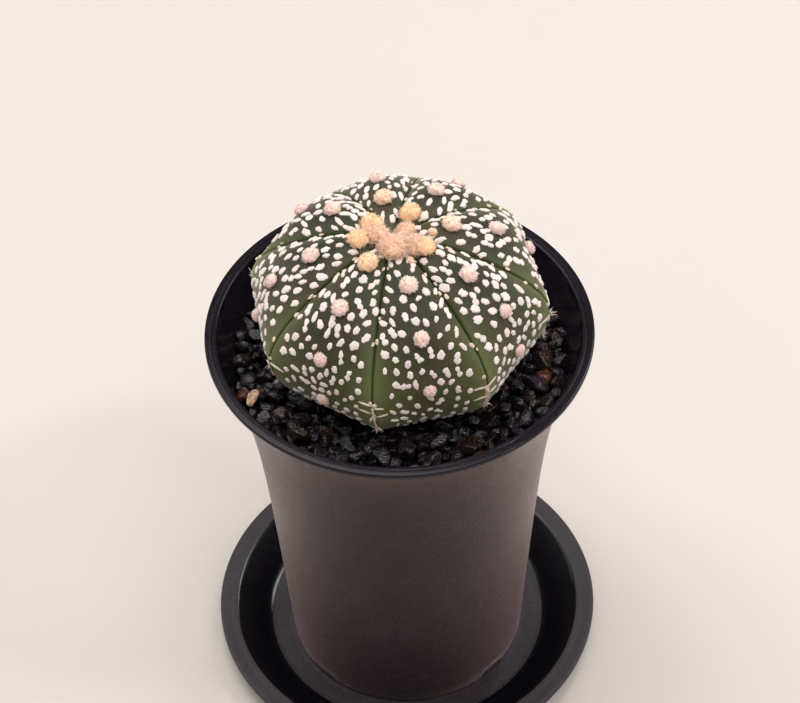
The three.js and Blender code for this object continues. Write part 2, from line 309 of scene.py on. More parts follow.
class NodeBoard:
    """A short way to lay out a material's nodes round one principled shader."""

    def __init__(self, name: str) -> None:
        """Starts a new material with a bare principled shader.

        Args:
            name: the material's name.
        """
        self.material = bpy.data.materials.new(name)
        self.material.use_nodes = True
        self.tree = self.material.node_tree
        self.shader = self.tree.nodes["Principled BSDF"]

    def node(self, kind: str, **settings: object) -> bpy.types.Node:
        """Adds a node.

        Args:
            kind: the node's type.
            settings: its properties.

        Returns:
            The new node.
        """
        made = self.tree.nodes.new(kind)
        for key, value in settings.items():
            setattr(made, key, value)
        return made

    def link(self, output: bpy.types.NodeSocket, target: bpy.types.NodeSocket) -> None:
        """Joins an output to an input."""
        self.tree.links.new(output, target)

    def hold(self, values: dict[str, float | Colour]) -> None:
        """Sets inputs of the shader to constants.

        Args:
            values: a number or a colour for each input's name.
        """
        for name, value in values.items():
            socket = self.shader.inputs[name]
            socket.default_value = (*value, 1.0) if socket.type == "RGBA" else value

    def place(self) -> bpy.types.NodeSocket:
        """The object-space position of the surface."""
        return self.node("ShaderNodeTexCoord").outputs["Object"]

    def grain(self, scale: float, detail: float = 4, rough: float = 0.55) -> bpy.types.NodeSocket:
        """Makes cloudy noise in object space.

        Args:
            scale: features per metre.
            detail: how many finer layers it has.
            rough: how strong the finer layers are.

        Returns:
            The noise, from 0 to 1.
        """
        made = self.node("ShaderNodeTexNoise")
        made.inputs["Scale"].default_value = scale
        made.inputs["Detail"].default_value = detail
        made.inputs["Roughness"].default_value = rough
        self.link(self.place(), made.inputs["Vector"])
        return made.outputs["Fac"]

    def cells(self, scale: float) -> bpy.types.NodeSocket:
        """Makes pits and grains round scattered points.

        Args:
            scale: points per metre.

        Returns:
            The distance to the nearest point.
        """
        made = self.node("ShaderNodeTexVoronoi")
        made.inputs["Scale"].default_value = scale
        self.link(self.place(), made.inputs["Vector"])
        return made.outputs["Distance"]

    def attribute(self, name: str, output: str = "Fac") -> bpy.types.NodeSocket:
        """A value painted on the mesh."""
        return self.node("ShaderNodeAttribute", attribute_name=name).outputs[output]

    def span(self, value: bpy.types.NodeSocket, band: Band, to_low: float = 0.0,
             to_high: float = 1.0) -> bpy.types.NodeSocket:
        """Maps a value from one range to another, held at both ends.

        Args:
            value: the value.
            band: the range it is taken from.
            to_low: what the band's start becomes.
            to_high: what the band's end becomes.

        Returns:
            The mapped value.
        """
        made = self.node("ShaderNodeMapRange")
        ends = {"From Min": band[0], "From Max": band[1], "To Min": to_low, "To Max": to_high}
        for key, number in ends.items():
            made.inputs[key].default_value = number
        self.link(value, made.inputs["Value"])
        return made.outputs["Result"]

    def blend(self, share: bpy.types.NodeSocket, first: bpy.types.NodeSocket | Colour,
              second: bpy.types.NodeSocket | Colour, mode: str = "MIX") -> bpy.types.NodeSocket:
        """Mixes two colours.

        Args:
            share: how much of the second there is.
            first: the first colour.
            second: the second colour.
            mode: the way they are mixed.

        Returns:
            The mixed colour.
        """
        made = self.node("ShaderNodeMix", data_type="RGBA", blend_type=mode)
        colours = [socket for socket in made.inputs if socket.type == "RGBA"]
        self.link(share, made.inputs[0])
        for socket, value in zip(colours, (first, second)):
            if isinstance(value, tuple):
                socket.default_value = (*value, 1.0)
            else:
                self.link(value, socket)
        return next(socket for socket in made.outputs if socket.type == "RGBA")

    def bump(self, height: bpy.types.NodeSocket, strength: float, distance: float,
             under: bpy.types.NodeSocket | None = None) -> bpy.types.NodeSocket:
        """Raises the surface by a height value.

        Args:
            height: the value.
            strength: how much it counts, from 0 to 1.
            distance: the rise in metres where it is 1.
            under: another relief that this one lies on.

        Returns:
            The surface's new normal.
        """
        made = self.node("ShaderNodeBump")
        made.inputs["Strength"].default_value = strength
        made.inputs["Distance"].default_value = distance
        self.link(height, made.inputs["Height"])
        if under is not None:
            self.link(under, made.inputs["Normal"])
        return made.outputs["Normal"]

    def dress(self, colour: bpy.types.NodeSocket, rough: bpy.types.NodeSocket,
              normal: bpy.types.NodeSocket) -> bpy.types.Material:
        """Joins the shader to what it is fed.

        Args:
            colour: the surface's own colour.
            rough: its roughness.
            normal: its relief.

        Returns:
            The finished material.
        """
        self.link(colour, self.shader.inputs["Base Color"])
        self.link(rough, self.shader.inputs["Roughness"])
        self.link(normal, self.shader.inputs["Normal"])
        return self.material


@dataclass(frozen=True)
class MouldedPlastic:
    """Dark moulded plastic, from smooth and glossy to matt and finely grained."""

    name: str
    dark: Colour
    pale: Colour
    rough: float
    gloss: float
    relief: float
    bloom: float
    grain_scale: float = 1350
    grain_band: Band = (0.36, 0.64)
    speck_scale: float = 1300
    speck_band: Band = (0.68, 0.74)
    speck_lift: float = 2.6
    cloud_scale: float = 60
    cloud_band: Band = (0.35, 0.65)
    cloud_share: float = 0.35
    wear_scale: float = 260
    wear_band: Band = (0.3, 0.7)
    wear: float = 0.03
    grain_depth: float = 0.25 * MM
    bloom_spread: float = 0.3
    bloom_tint: Colour = (1.0, 0.71, 0.68)

    def material(self) -> bpy.types.Material:
        """Builds the finish.

        Returns:
            The material.
        """
        board = NodeBoard(self.name)
        fine = board.grain(self.grain_scale, 3, 0.85)
        colour = board.blend(board.span(fine, self.grain_band), self.dark, self.pale)
        lighter = tuple(self.speck_lift * part for part in self.pale)
        specks = board.grain(self.speck_scale, 2, 0.5)
        colour = board.blend(board.span(specks, self.speck_band, 0.0, self.relief), colour, lighter)
        cloud = board.grain(self.cloud_scale)
        share = board.span(cloud, self.cloud_band, 0.0, self.cloud_share)
        colour = board.blend(share, colour, self.dark)
        worn = board.grain(self.wear_scale)
        rough = board.span(worn, self.wear_band, self.rough - self.wear, self.rough + self.wear)
        board.hold({
            "Specular IOR Level": self.gloss,
            "Sheen Weight": self.bloom,
            "Sheen Roughness": self.bloom_spread,
            "Sheen Tint": self.bloom_tint,
        })
        return board.dress(colour, rough, board.bump(fine, self.relief, self.grain_depth))


@dataclass(frozen=True)
class StemSkin:
    """Waxy green skin: dark on the crests, yellow-green and bare beside the grooves, with painted shade
    along the clefts.
    """

    crest: Colour = (0.0115, 0.0135, 0.0055)
    brown: Colour = (0.034, 0.023, 0.0125)
    flank: Colour = (0.125, 0.145, 0.048)
    # Painted shade: the dark green laid along the clefts of the grooves.
    cleft: Colour = (0.012, 0.026, 0.002)
    dust: Colour = (0.07, 0.068, 0.036)
    cloud_scale: float = 55
    cloud_band: Band = (0.38, 0.66)
    dust_scale: float = 900
    dust_band: Band = (0.4, 0.75)
    dust_share: float = 0.3
    dust_depth: float = 0.1 * MM
    matt_band: Band = (0.3, 0.7)
    smoothest: float = 0.42
    roughest: float = 0.6
    pore_scale: float = 420
    pore_depth: float = 0.2 * MM
    depth_of_light: float = 1.2 * MM
    light_reach: Colour = (0.4, 1.0, 0.2)
    wax_tint: Colour = (1.0, 0.97, 0.78)

    def material(self) -> bpy.types.Material:
        """Builds the finish.

        Returns:
            The material.
        """
        board = NodeBoard("stem_skin")
        cloud = board.grain(self.cloud_scale)
        fine = board.grain(self.dust_scale, 4, 0.6)
        body = board.blend(board.span(cloud, self.cloud_band), self.crest, self.brown)
        body = board.blend(board.attribute("flank"), body, self.flank)
        dusty = board.span(fine, self.dust_band, 0.0, self.dust_share)
        body = board.blend(dusty, body, self.dust)
        # Painted shade in the clefts.
        body = board.blend(board.attribute("cleft"), body, self.cleft)
        rough = board.span(fine, self.matt_band, self.smoothest, self.roughest)
        relief = board.bump(board.grain(self.pore_scale, 3), 0.35, self.pore_depth)
        relief = board.bump(fine, 0.3, self.dust_depth, relief)
        board.hold({
            "Subsurface Weight": 0.06,
            "Subsurface Radius": self.light_reach,
            "Subsurface Scale": self.depth_of_light,
            "Specular IOR Level": 0.22,
            "Sheen Weight": 0.33,
            "Sheen Roughness": 0.32,
            "Sheen Tint": self.wax_tint,
        })
        return board.dress(body, rough, relief)


@dataclass(frozen=True)
class Wool:
    """Dense felt or wool whose colour is painted on each tuft and fibre."""

    name: str
    grain: float
    depth: float
    shade: Colour
    shade_band: Band = (0.36, 0.66)
    shade_share: float = 0.6
    matt_band: Band = (0.2, 0.8)
    smoothest: float = 0.82
    roughest: float = 0.98

    def material(self) -> bpy.types.Material:
        """Builds the finish.

        Returns:
            The material.
        """
        board = NodeBoard(self.name)
        tint = board.attribute(TINT, "Color")
        fine = board.grain(self.grain, 5, 0.7)
        shade = board.span(fine, self.shade_band, 0.0, self.shade_share)
        colour = board.blend(shade, tint, self.shade, "MULTIPLY")
        rough = board.span(fine, self.matt_band, self.smoothest, self.roughest)
        board.hold({"Sheen Weight": 0.25, "Sheen Roughness": 0.6, "Specular IOR Level": 0.15})
        return board.dress(colour, rough, board.bump(fine, 0.7, self.depth))


@dataclass(frozen=True)
class LavaStone:
    """Rough stone with pits and small glassy faces, and pale specks painted on as glints; its colour is
    painted on each stone.
    """

    name: str = "lava_stone"
    shade: Colour = (0.3, 0.24, 0.3)
    shade_scale: float = 800
    shade_band: Band = (0.35, 0.62)
    shade_share: float = 0.9
    dust: Colour = (0.08, 0.066, 0.076)
    dust_scale: float = 2600
    dust_band: Band = (0.6, 0.72)
    dust_share: float = 0.4
    dust_depth: float = 0.16 * MM
    painted_glint: Colour = (0.4, 0.36, 0.42)
    painted_glint_scale: float = 4200
    painted_glint_band: Band = (0.66, 0.71)
    painted_glint_share: float = 0.85
    pit_scale: float = 1700
    pit_depth: float = 0.3 * MM
    matt_band: Band = (0.38, 0.6)
    roughest: float = 0.34
    smoothest: float = 0.14

    def material(self) -> bpy.types.Material:
        """Builds the finish.

        Returns:
            The material.
        """
        board = NodeBoard(self.name)
        tint = board.attribute(TINT, "Color")
        cloud = board.grain(self.shade_scale)
        fine = board.grain(self.dust_scale, 5, 0.75)
        painted_glint_noise = board.grain(self.painted_glint_scale, 2, 0.6)
        shaded = board.span(cloud, self.shade_band, 0.0, self.shade_share)
        colour = board.blend(shaded, tint, self.shade, "MULTIPLY")
        dusty = board.span(fine, self.dust_band, 0.0, self.dust_share)
        colour = board.blend(dusty, colour, self.dust)
        # Painted highlight: pale specks blended into the colour stand in for glints.
        painted_glint_mask = board.span(painted_glint_noise, self.painted_glint_band, 0.0, self.painted_glint_share)
        colour = board.blend(painted_glint_mask, colour, self.painted_glint)
        rough = board.span(cloud, self.matt_band, self.roughest, self.smoothest)
        relief = board.bump(board.cells(self.pit_scale), 0.4, self.pit_depth)
        relief = board.bump(fine, 0.45, self.dust_depth, relief)
        board.hold({"Specular IOR Level": 0.38})
        return board.dress(colour, rough, relief)


@dataclass(frozen=True)
class SweepPaper:
    """Pale studio paper that glows faintly where it lies far from the plant: painted light, since it is
    no lamp.
    """

    first: Colour = (0.572, 0.522, 0.491)
    second: Colour = (0.59, 0.543, 0.505)
    cloud_scale: float = 3.0
    cloud_band: Band = (0.35, 0.65)
    matt_band: Band = (0.3, 0.7)
    smoothest: float = 0.74
    roughest: float = 0.86
    painted_glow_band: Band = (0.7, 2.3)
    painted_glow: float = 0.5
    painted_glow_colour: Colour = (1.0, 0.93, 0.87)

    def material(self) -> bpy.types.Material:
        """Builds the finish.

        Returns:
            The material.
        """
        board = NodeBoard("sweep_paper")
        cloud = board.grain(self.cloud_scale, 5)
        colour = board.blend(board.span(cloud, self.cloud_band), self.first, self.second)
        # Painted light: the paper glows by emission, more the farther it lies from the middle.
        away = board.node("ShaderNodeVectorMath", operation="LENGTH")
        board.link(board.place(), away.inputs[0])
        glow = board.span(away.outputs["Value"], self.painted_glow_band, 0.0, self.painted_glow)
        board.link(glow, board.shader.inputs["Emission Strength"])
        board.hold({"Emission Color": self.painted_glow_colour})
        rough = board.span(cloud, self.matt_band, self.smoothest, self.roughest)
        return board.dress(colour, rough, board.bump(cloud, 0.4, 0.2 * MM))


@dataclass(frozen=True)
class Mottled:
    """A plain two-tone ground with fine relief."""

    name: str
    first: Colour
    second: Colour
    scale: float
    smoothest: float
    roughest: float
    depth: float
    cloud_band: Band = (0.35, 0.65)
    matt_band: Band = (0.3, 0.7)

    def material(self) -> bpy.types.Material:
        """Builds the finish.

        Returns:
            The material.
        """
        board = NodeBoard(self.name)
        cloud = board.grain(self.scale, 5)
        colour = board.blend(board.span(cloud, self.cloud_band), self.first, self.second)
        rough = board.span(cloud, self.matt_band, self.smoothest, self.roughest)
        return board.dress(colour, rough, board.bump(cloud, 0.4, self.depth))


def dress(piece: bpy.types.Object, finish: bpy.types.Material) -> None:
    """Gives a piece one finish all over."""
    piece.data.materials.clear()
    piece.data.materials.append(finish)


def dress_where(piece: bpy.types.Object, finish: bpy.types.Material, chosen: np.ndarray) -> None:
    """Gives some faces of a dressed piece a second finish.

    Args:
        piece: the mesh object.
        finish: the second finish.
        chosen: for each face, whether it takes the second finish.
    """
    piece.data.materials.append(finish)
    piece.data.polygons.foreach_set("material_index", np.asarray(chosen, np.int32))


def face_places(piece: bpy.types.Object) -> tuple[np.ndarray, np.ndarray]:
    """Finds where a piece's faces are.

    Args:
        piece: the mesh object.

    Returns:
        The radius and the height of the middle of each face.
    """
    middles = np.array([face.center for face in piece.data.polygons])
    return np.hypot(middles[:, 0], middles[:, 1]), middles[:, 2]


# ------------------------------------------------------------------ saucer


@dataclass
class Saucer:
    """The round saucer with its wide flat lip, sloping wall and flat floor."""

    radius: float = 54.2 * MM
    height: float = 8.6 * MM
    floor: float = 1.8 * MM
    well: float = 40.1 * MM
    lip: float = 5.3 * MM
    lip_depth: float = 1.7 * MM
    soft: float = 0.9 * MM
    # The wall, underside and outer edge take a far darker copy of the plastic: painted shade. The lip's
    # top and the floor take a paler copy: painted light. Their gloss differs as well.
    gloss: MouldedPlastic = MouldedPlastic(
        "saucer_gloss_painted_shade", dark=(0.002, 0.0017, 0.003), pale=(0.0055, 0.0045, 0.008),
        rough=0.18, gloss=0.3, relief=0.1, bloom=0.0)
    matt_painted_light: MouldedPlastic = MouldedPlastic(
        "saucer_matt_painted_light", dark=(0.018, 0.0125, 0.017), pale=(0.038, 0.027, 0.035),
        rough=0.42, gloss=0.3, relief=0.5, bloom=0.12)

    def section(self) -> list[tuple[float, float]]:
        """Draws the half section.

        Returns:
            (radius, z) from the underside's middle round the lip to the floor's middle.
        """
        inner = self.radius - self.lip
        under = self.height - self.lip_depth
        raised = self.floor + 0.15 * MM
        return rounded([
            (0.0, 0.0, 0.0),
            (self.well + 0.9 * MM, 0.0, self.soft),
            (inner + 1.7 * MM, under, self.soft),
            (self.radius, under, 0.4 * MM),
            (self.radius, self.height, 0.8 * MM),
            (inner + 2.3 * MM, self.height - 0.12 * MM, 0.3 * MM),
            (inner, self.height, self.soft),
            (self.well, self.floor, 2.0 * MM),
            (self.well - 6 * MM, self.floor, 0.5 * MM),
            (self.well - 7 * MM, raised, 0.5 * MM),
            (0.0, raised, 0.0),
        ])

    def matt_painted_light_faces(self, piece: bpy.types.Object) -> np.ndarray:
        """Picks the top of the lip and the floor, which take the paler, painted-light copy of the
        plastic.

        Args:
            piece: the saucer.

        Returns:
            For each face, whether it is one of them.
        """
        out, up = face_places(piece)
        inner = self.radius - self.lip
        on_lip = (up > self.height - 0.6 * MM) & (out > inner + 0.2 * MM)
        above = up > 0.1 * MM
        on_floor = above & (up < self.floor + 0.25 * MM) & (out < self.well - 0.8 * MM)
        return on_lip | on_floor

    def make(self) -> bpy.types.Object:
        """Makes, dresses and seats the saucer.

        Returns:
            The piece.
        """
        piece = turned_object("saucer_shell", self.section())
        dress(piece, self.gloss.material())
        dress_where(piece, self.matt_painted_light.material(), self.matt_painted_light_faces(piece))
        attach(piece, BODY)
        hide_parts("saucer")
        return piece


# ------------------------------------------------------------------ pot


@dataclass
class Pot:
    """The tall flared pot with its thin lip, foot ring and drain holes."""

    height: float = 118 * MM
    wall: float = 1.4 * MM
    rim: float = 50 * MM
    lip: float = 3.15 * MM
    lip_depth: float = 1.5 * MM
    recess: float = 2 * MM
    foot_width: float = 4 * MM
    drains: int = 6
    drain_radius: float = 3 * MM
    drain_circle: float = 19 * MM
    drain_sides: int = 32
    notches: int = 4
    notch_width: float = 7 * MM
    taper_radius: float = 40.4 * MM
    taper: float = 0.0613
    flare: float = 10.2 * MM
    flare_depth: float = 15.9 * MM
    levels: int = 40
    first_level: float = 2.4 * MM
    gloss_depth: float = 1.75 * MM
    gloss: MouldedPlastic = MouldedPlastic(
        "pot_lip_gloss", dark=(0.006, 0.0042, 0.0075), pale=(0.018, 0.0125, 0.0195),
        rough=0.12, gloss=0.16, relief=0.1, bloom=0.0)
    grain: MouldedPlastic = MouldedPlastic(
        "pot_body_grain", dark=(0.0001, 0.0001, 0.0003), pale=(0.033, 0.021, 0.029),
        rough=0.3, gloss=0.24, relief=1.0, bloom=0.34)
    base: float = field(init=False)
    top: float = field(init=False)

    def __post_init__(self) -> None:
        """Reads the pot's place from the frame."""
        low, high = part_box("pot")
        self.base = low.z
        self.top = high.z

    def radius(self, depth: float) -> float:
        """The outer radius at a depth below the rim: a straight taper and a trumpet flare."""
        return self.taper_radius - self.taper * depth + self.flare * math.exp(-depth / self.flare_depth)

    def section(self) -> list[tuple[float, float]]:
        """Draws the half section.

        Returns:
            (radius, z) from the floor's underside round the lip to the floor's top.
        """
        floor = self.base + self.recess
        foot = self.radius(self.height) - 0.3 * MM
        ring = foot - self.foot_width
        inner_edge = self.rim - self.lip
        run = self.height - 3.2 * MM
        shares = [i / self.levels for i in range(self.levels + 1)]
        depths = [self.first_level + run * share**1.5 for share in shares]
        outer = [(self.radius(depth), self.top - depth, 0.0) for depth in reversed(depths)]
        inner = [
            (self.radius(depth) - self.wall, self.top - depth, 0.0) for depth in depths[4:-2]]
        groove = self.rim - 1.95 * MM
        lip = [
            (self.rim - 0.15 * MM, self.top - self.lip_depth, 0.3 * MM),
            (self.rim, self.top - 0.9 * MM, 0.2 * MM),
            (self.rim, self.top - 0.05 * MM, 0.55 * MM),
            (groove + 0.22 * MM, self.top, 0.1 * MM),
            (groove, self.top - 0.3 * MM, 0.06 * MM),
            (groove - 0.2 * MM, self.top - 0.12 * MM, 0.1 * MM),
            (inner_edge, self.top - 0.2 * MM, 0.5 * MM),
            (inner_edge - 0.15 * MM, self.top - 2.2 * MM, 0.6 * MM),
        ]
        return rounded([
            (0.0, floor, 0.0),
            (ring, floor, 0.5 * MM),
            (ring + 0.3 * MM, self.base, 0.5 * MM),
            (foot, self.base, 0.7 * MM),
            *outer,
            *lip,
            *inner,
            (self.radius(self.height) - self.wall, floor + self.wall, 1.5 * MM),
            (0.0, floor + self.wall, 0.0),
        ], 5)

    def pierce(self, piece: bpy.types.Object) -> None:
        """Cuts the drain holes and the notches in the foot ring.

        Args:
            piece: the pot.
        """
        bm = bmesh.new()
        middle = self.base + self.recess + self.wall / 2
        for i in range(self.drains):
            at = polar(i * 360 / self.drains, self.drain_circle, middle)
            bmesh.ops.create_cone(
                bm, cap_ends=True, segments=self.drain_sides, radius1=self.drain_radius,
                radius2=self.drain_radius, depth=4 * self.wall, matrix=Matrix.Translation(at))
        ring = self.radius(self.height) - self.foot_width / 2
        size = Matrix.Diagonal((self.notch_width, 3 * self.foot_width, 2 * MM, 1))
        for i in range(self.notches):
            azimuth = 45 + i * 360 / self.notches
            at = polar(azimuth, ring, self.base + 0.2 * MM)
            turn = Matrix.Rotation(math.radians(azimuth), 4, "Z")
            bmesh.ops.create_cube(bm, size=1, matrix=Matrix.Translation(at) @ turn @ size)
        cutter_mesh = bpy.data.meshes.new("drain_cutter")
        bm.to_mesh(cutter_mesh)
        bm.free()
        cutter = bpy.data.objects.new("drain_cutter", cutter_mesh)
        bpy.context.scene.collection.objects.link(cutter)
        cut = piece.modifiers.new("drains", "BOOLEAN")
        cut.object = cutter
        cut.solver = "EXACT"
        apply_modifiers(piece)
        bpy.data.objects.remove(cutter)

    def grained_faces(self, piece: bpy.types.Object) -> np.ndarray:
        """Picks the outside below the lip.

        Args:
            piece: the pot.

        Returns:
            For each face, whether it is part of it.
        """
        out, up = face_places(piece)
        outer = np.array([self.radius(self.top - height) for height in up])
        outside = out > outer - 0.6 * self.wall
        return outside & (self.top - up > self.gloss_depth)

    def make(self) -> bpy.types.Object:
        """Makes, dresses and seats the pot.

        Returns:
            The piece.
        """
        piece = turned_object("flared_pot", self.section())
        self.pierce(piece)
        dress(piece, self.gloss.material())
        dress_where(piece, self.grain.material(), self.grained_faces(piece))
        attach(piece, BODY)
        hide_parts("pot")
        return piece


def apply_modifiers(piece: bpy.types.Object) -> None:
    """Replaces a piece's mesh with the result of its modifiers.

    Args:
        piece: the mesh object.
    """
    graph = bpy.context.evaluated_depsgraph_get()
    result = bpy.data.meshes.new_from_object(piece.evaluated_get(graph))
    piece.modifiers.clear()
    piece.data = result


# ------------------------------------------------------------------ stem


@dataclass
class Stem:
    """The grown dome with eight ribs and its taproot."""

    rim: float
    radius: float = 38.8 * MM
    widest: float = 12.6 * MM
    rise: float = 22 * MM
    depth: float = 26.3 * MM
    dip: float = 3.5 * MM
    dip_radius: float = 7 * MM
    lean_front: float = 1.4
    lean_left: float = 2.4
    grooves: tuple[float, ...] = (-10.5, 34, 78, 125.5, 168.5, 208.5, 254, 303)
    flatness: tuple[float, ...] = (0.095, 0.095, 0.1, 0.13, 0.11, 0.12, 0.09, 0.09)
    fullness: tuple[float, ...] = (0, 0, 0, 0, 0.015, 0.035, 0, 0)
    first_areole: tuple[float, ...] = (17, 9.5, 15, 8.5, 13.5, 7, 8.7, 11.3)
    areole_spacing: tuple[float, ...] = (13.7, 12.7, 12.2, 12.2, 12.5, 12.3, 12.3, 13.4)
    lowest: float = math.radians(166)
    upper_power: float = 1.74
    lower_power: float = 2.27
    flat_from: float = 40
    flat_over: float = 50
    groove_from: float = 2 * MM
    groove_over: float = 9 * MM
    pillow: float = 0.9 * MM
    shoulder: float = 0.8
    shoulder_loss: float = 0.35
    shoulder_reach: float = 2.8 * MM
    cleft: float = 0.75 * MM
    cleft_reach: float = 0.3 * MM
    swell: float = 0.3 * MM
    root: tuple[tuple[float, float], ...] = ((9.5, 5), (6.8, 18), (4, 32), (1.5, 43))
    root_length: float = 46 * MM
    shift: tuple[float, float] = (-0.15 * MM, 0.24 * MM)
    bare_from: float = 0.75
    bare_over: float = 1.1
    bare_width: float = 2.2 * MM
    bare_growth: float = 3.4 * MM
    columns: int = 60
    crowding: float = 0.8
    rows: int = 230
    first_angle: float = 0.012
    turn: np.ndarray = field(init=False)
    middle: np.ndarray = field(init=False)

    def __post_init__(self) -> None:
        """Works out the lean and the middle of the widest level."""
        front = Matrix.Rotation(math.radians(self.lean_front), 3, "X")
        left = Matrix.Rotation(-math.radians(self.lean_left), 3, "Y")
        self.turn = np.array(front @ left)
        self.middle = np.array([*self.shift, self.rim + self.widest])

    @property
    def ribs(self) -> int:
        """How many ribs the stem has."""
        return len(self.grooves)

    def rib_span(self, rib: int) -> tuple[float, float]:
        """Finds the grooves on both sides of a rib.

        Args:
            rib: its number.

        Returns:
            Their azimuths in degrees.
        """
        wrap = self.grooves[0] + 360
        end = self.grooves[rib + 1] if rib + 1 < self.ribs else wrap
        return self.grooves[rib], end

    def rib_middle(self, rib: int) -> float:
        """The azimuth of a rib's crest."""
        start, end = self.rib_span(rib)
        return (start + end) / 2

    def across(self, azimuth: np.ndarray) -> tuple[np.ndarray, np.ndarray, np.ndarray]:
        """Where azimuths lie on their ribs.

        Args:
            azimuth: degrees.

        Returns:
            How near the groove each one is, 0 on the crest to 1, its rib's half width in degrees,
            and its rib's number.
        """
        marks = np.array([*self.grooves, self.grooves[0] + 360])
        wrapped = np.mod(azimuth - marks[0], 360) + marks[0]
        rib = np.clip(np.searchsorted(marks, wrapped, side="right") - 1, 0, self.ribs - 1)
        half = (marks[rib + 1] - marks[rib]) / 2
        return np.abs((wrapped - marks[rib]) / half - 1), half, rib

    def point(self, azimuth: np.ndarray, angle: np.ndarray, bridged: bool = False) -> np.ndarray:
        """Points of the skin.

        Args:
            azimuth: degrees round the stem.
            angle: radians down from the crown's axis.
            bridged: leaves out the sharp clefts, for things that lie across them.

        Returns:
            (..., 3) places.
        """
        sine = np.sin(angle)
        cosine = np.cos(angle)
        power = np.where(cosine >= 0, self.upper_power, self.lower_power)
        reach = (np.abs(sine) ** power + np.abs(cosine) ** power) ** (-1 / power)
        edge, half, rib = self.across(azimuth)
        low = np.clip((np.degrees(angle) - self.flat_from) / self.flat_over, 0, 1)
        low = low * low * (3 - 2 * low)
        full = np.array(self.fullness)[rib] * (1 - low) * sine
        full = full - np.array(self.flatness)[rib] * low
        radius = self.radius * sine * reach * (1 + full * (1 - edge**2))
        height = np.where(cosine >= 0, self.rise, self.depth) * cosine * reach
        height = height - self.dip * np.exp(-((radius / self.dip_radius) ** 2))
        from_groove = (1 - edge) * np.radians(half) * radius
        fade = np.clip((radius - self.groove_from) / self.groove_over, 0, 1)
        pillow = self.pillow * edge**2.6 * (1 - low)
        shoulder = (self.shoulder - self.shoulder_loss * low) * MM
        shoulder = shoulder * np.exp(-((from_groove / self.shoulder_reach) ** 1.4))
        cleft = self.cleft * np.exp(-((from_groove / self.cleft_reach) ** 1.2))
        depth = pillow + shoulder + (0.0 if bridged else cleft)
        cut = depth * fade * fade * (3 - 2 * fade)
        turned = np.radians(azimuth)
        swell = self.swell * np.sin(3 * angle + turned * 2) * fade
        flat = radius - cut + swell
        lift = height - cut * np.clip(cosine, 0, 1)
        local = np.stack([flat * np.sin(turned), -flat * np.cos(turned), lift], axis=-1)
        return local @ self.turn.T + self.middle

    def frame_at(
        self, azimuth: float, angle: float
    ) -> tuple[np.ndarray, np.ndarray, np.ndarray, np.ndarray]:
        """Describes the skin at one place.

        Args:
            azimuth: degrees round the stem.
            angle: radians down from the crown's axis.

        Returns:
            The place, the steps per degree round and per radian down, and the outward normal.
        """
        small_turn = 0.2
        small_drop = 0.004
        here = self.point(np.array(azimuth), np.array(angle))
        aside = (self.point(np.array(azimuth + small_turn), np.array(angle)) - here) / small_turn
        down = (self.point(np.array(azimuth), np.array(angle + small_drop)) - here) / small_drop
        normal = np.cross(down, aside)
        return here, aside, down, normal / np.linalg.norm(normal)

    def arc_table(self, rib: int) -> tuple[np.ndarray, np.ndarray]:
        """Measures along a rib's crest.

        Args:
            rib: its number.

        Returns:
            Lengths from the crown, and the angles they lie at.
        """
        samples = 600
        angles = np.linspace(0.001, self.lowest, samples)
        line = self.point(np.full(samples, self.rib_middle(rib)), angles)
        steps = np.linalg.norm(np.diff(line, axis=0), axis=1)
        return np.concatenate([[0], np.cumsum(steps)]), angles

    def angle_on(self, rib: int, arc: float) -> float:
        """The angle from the crown at a length along a rib's crest."""
        return float(np.interp(arc, *self.arc_table(rib)))

    def make(self) -> bpy.types.Object:
        """Makes, dresses and seats the stem.

        Returns:
            The piece.
        """
        share = np.arange(self.columns) / self.columns
        spread = share - self.crowding * np.sin(2 * math.pi * share) / (2 * math.pi)
        spans = [self.rib_span(rib) for rib in range(self.ribs)]
        columns = np.concatenate([start + spread * (end - start) for start, end in spans])
        angles = np.linspace(self.first_angle, self.lowest, self.rows)
        azimuth, angle = np.meshgrid(columns, angles)
        around = len(columns)
        skin = self.point(azimuth, angle).reshape(-1, 3)
        foot = skin[-around:].mean(axis=0)
        turned = np.radians(columns)
        rings = []
        for wide, drop in self.root:
            height = np.full(around, foot[2] - drop * MM)
            rings.append(np.stack(
                [wide * MM * np.sin(turned), -wide * MM * np.cos(turned), height], axis=-1))
        tip = np.array([[0, 0, foot[2] - self.root_length]])
        crown = self.point(np.array([0.0]), np.array([0.0]))
        points = np.concatenate([skin, *rings, crown, tip])
        count = len(angles) + len(rings)
        groups = [
            ring_faces(count, around),
            cap_faces(count * around, 0, around, True),
            cap_faces(count * around + 1, (count - 1) * around, around, False)]
        piece = mesh_object("ribbed_stem", points, groups)
        self.paint_skin(piece, azimuth.ravel(), angle.ravel(), skin)
        dress(piece, StemSkin().material())
        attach(piece, BODY)
        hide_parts("cactus_stem")
        return piece

    def paint_skin(self, piece: bpy.types.Object, azimuth: np.ndarray, angle: np.ndarray,
                   skin: np.ndarray) -> None:
        """Marks the bare flanks, and the clefts where the finish paints shade.

        Args:
            piece: the stem, its skin's corners before all others.
            azimuth: each skin corner's azimuth in degrees.
            angle: each skin corner's angle from the crown.
            skin: each skin corner's place.
        """
        edge, half, _ = self.across(azimuth)
        radius = np.hypot(skin[:, 0], skin[:, 1])
        gap = (1 - edge) * np.radians(half) * radius
        low = np.clip((angle - self.bare_from) / self.bare_over, 0, 1)
        width = self.bare_width + self.bare_growth * low
        flank = np.exp(-gap / width) * (0.35 + 0.65 * low) + 0.28 * low
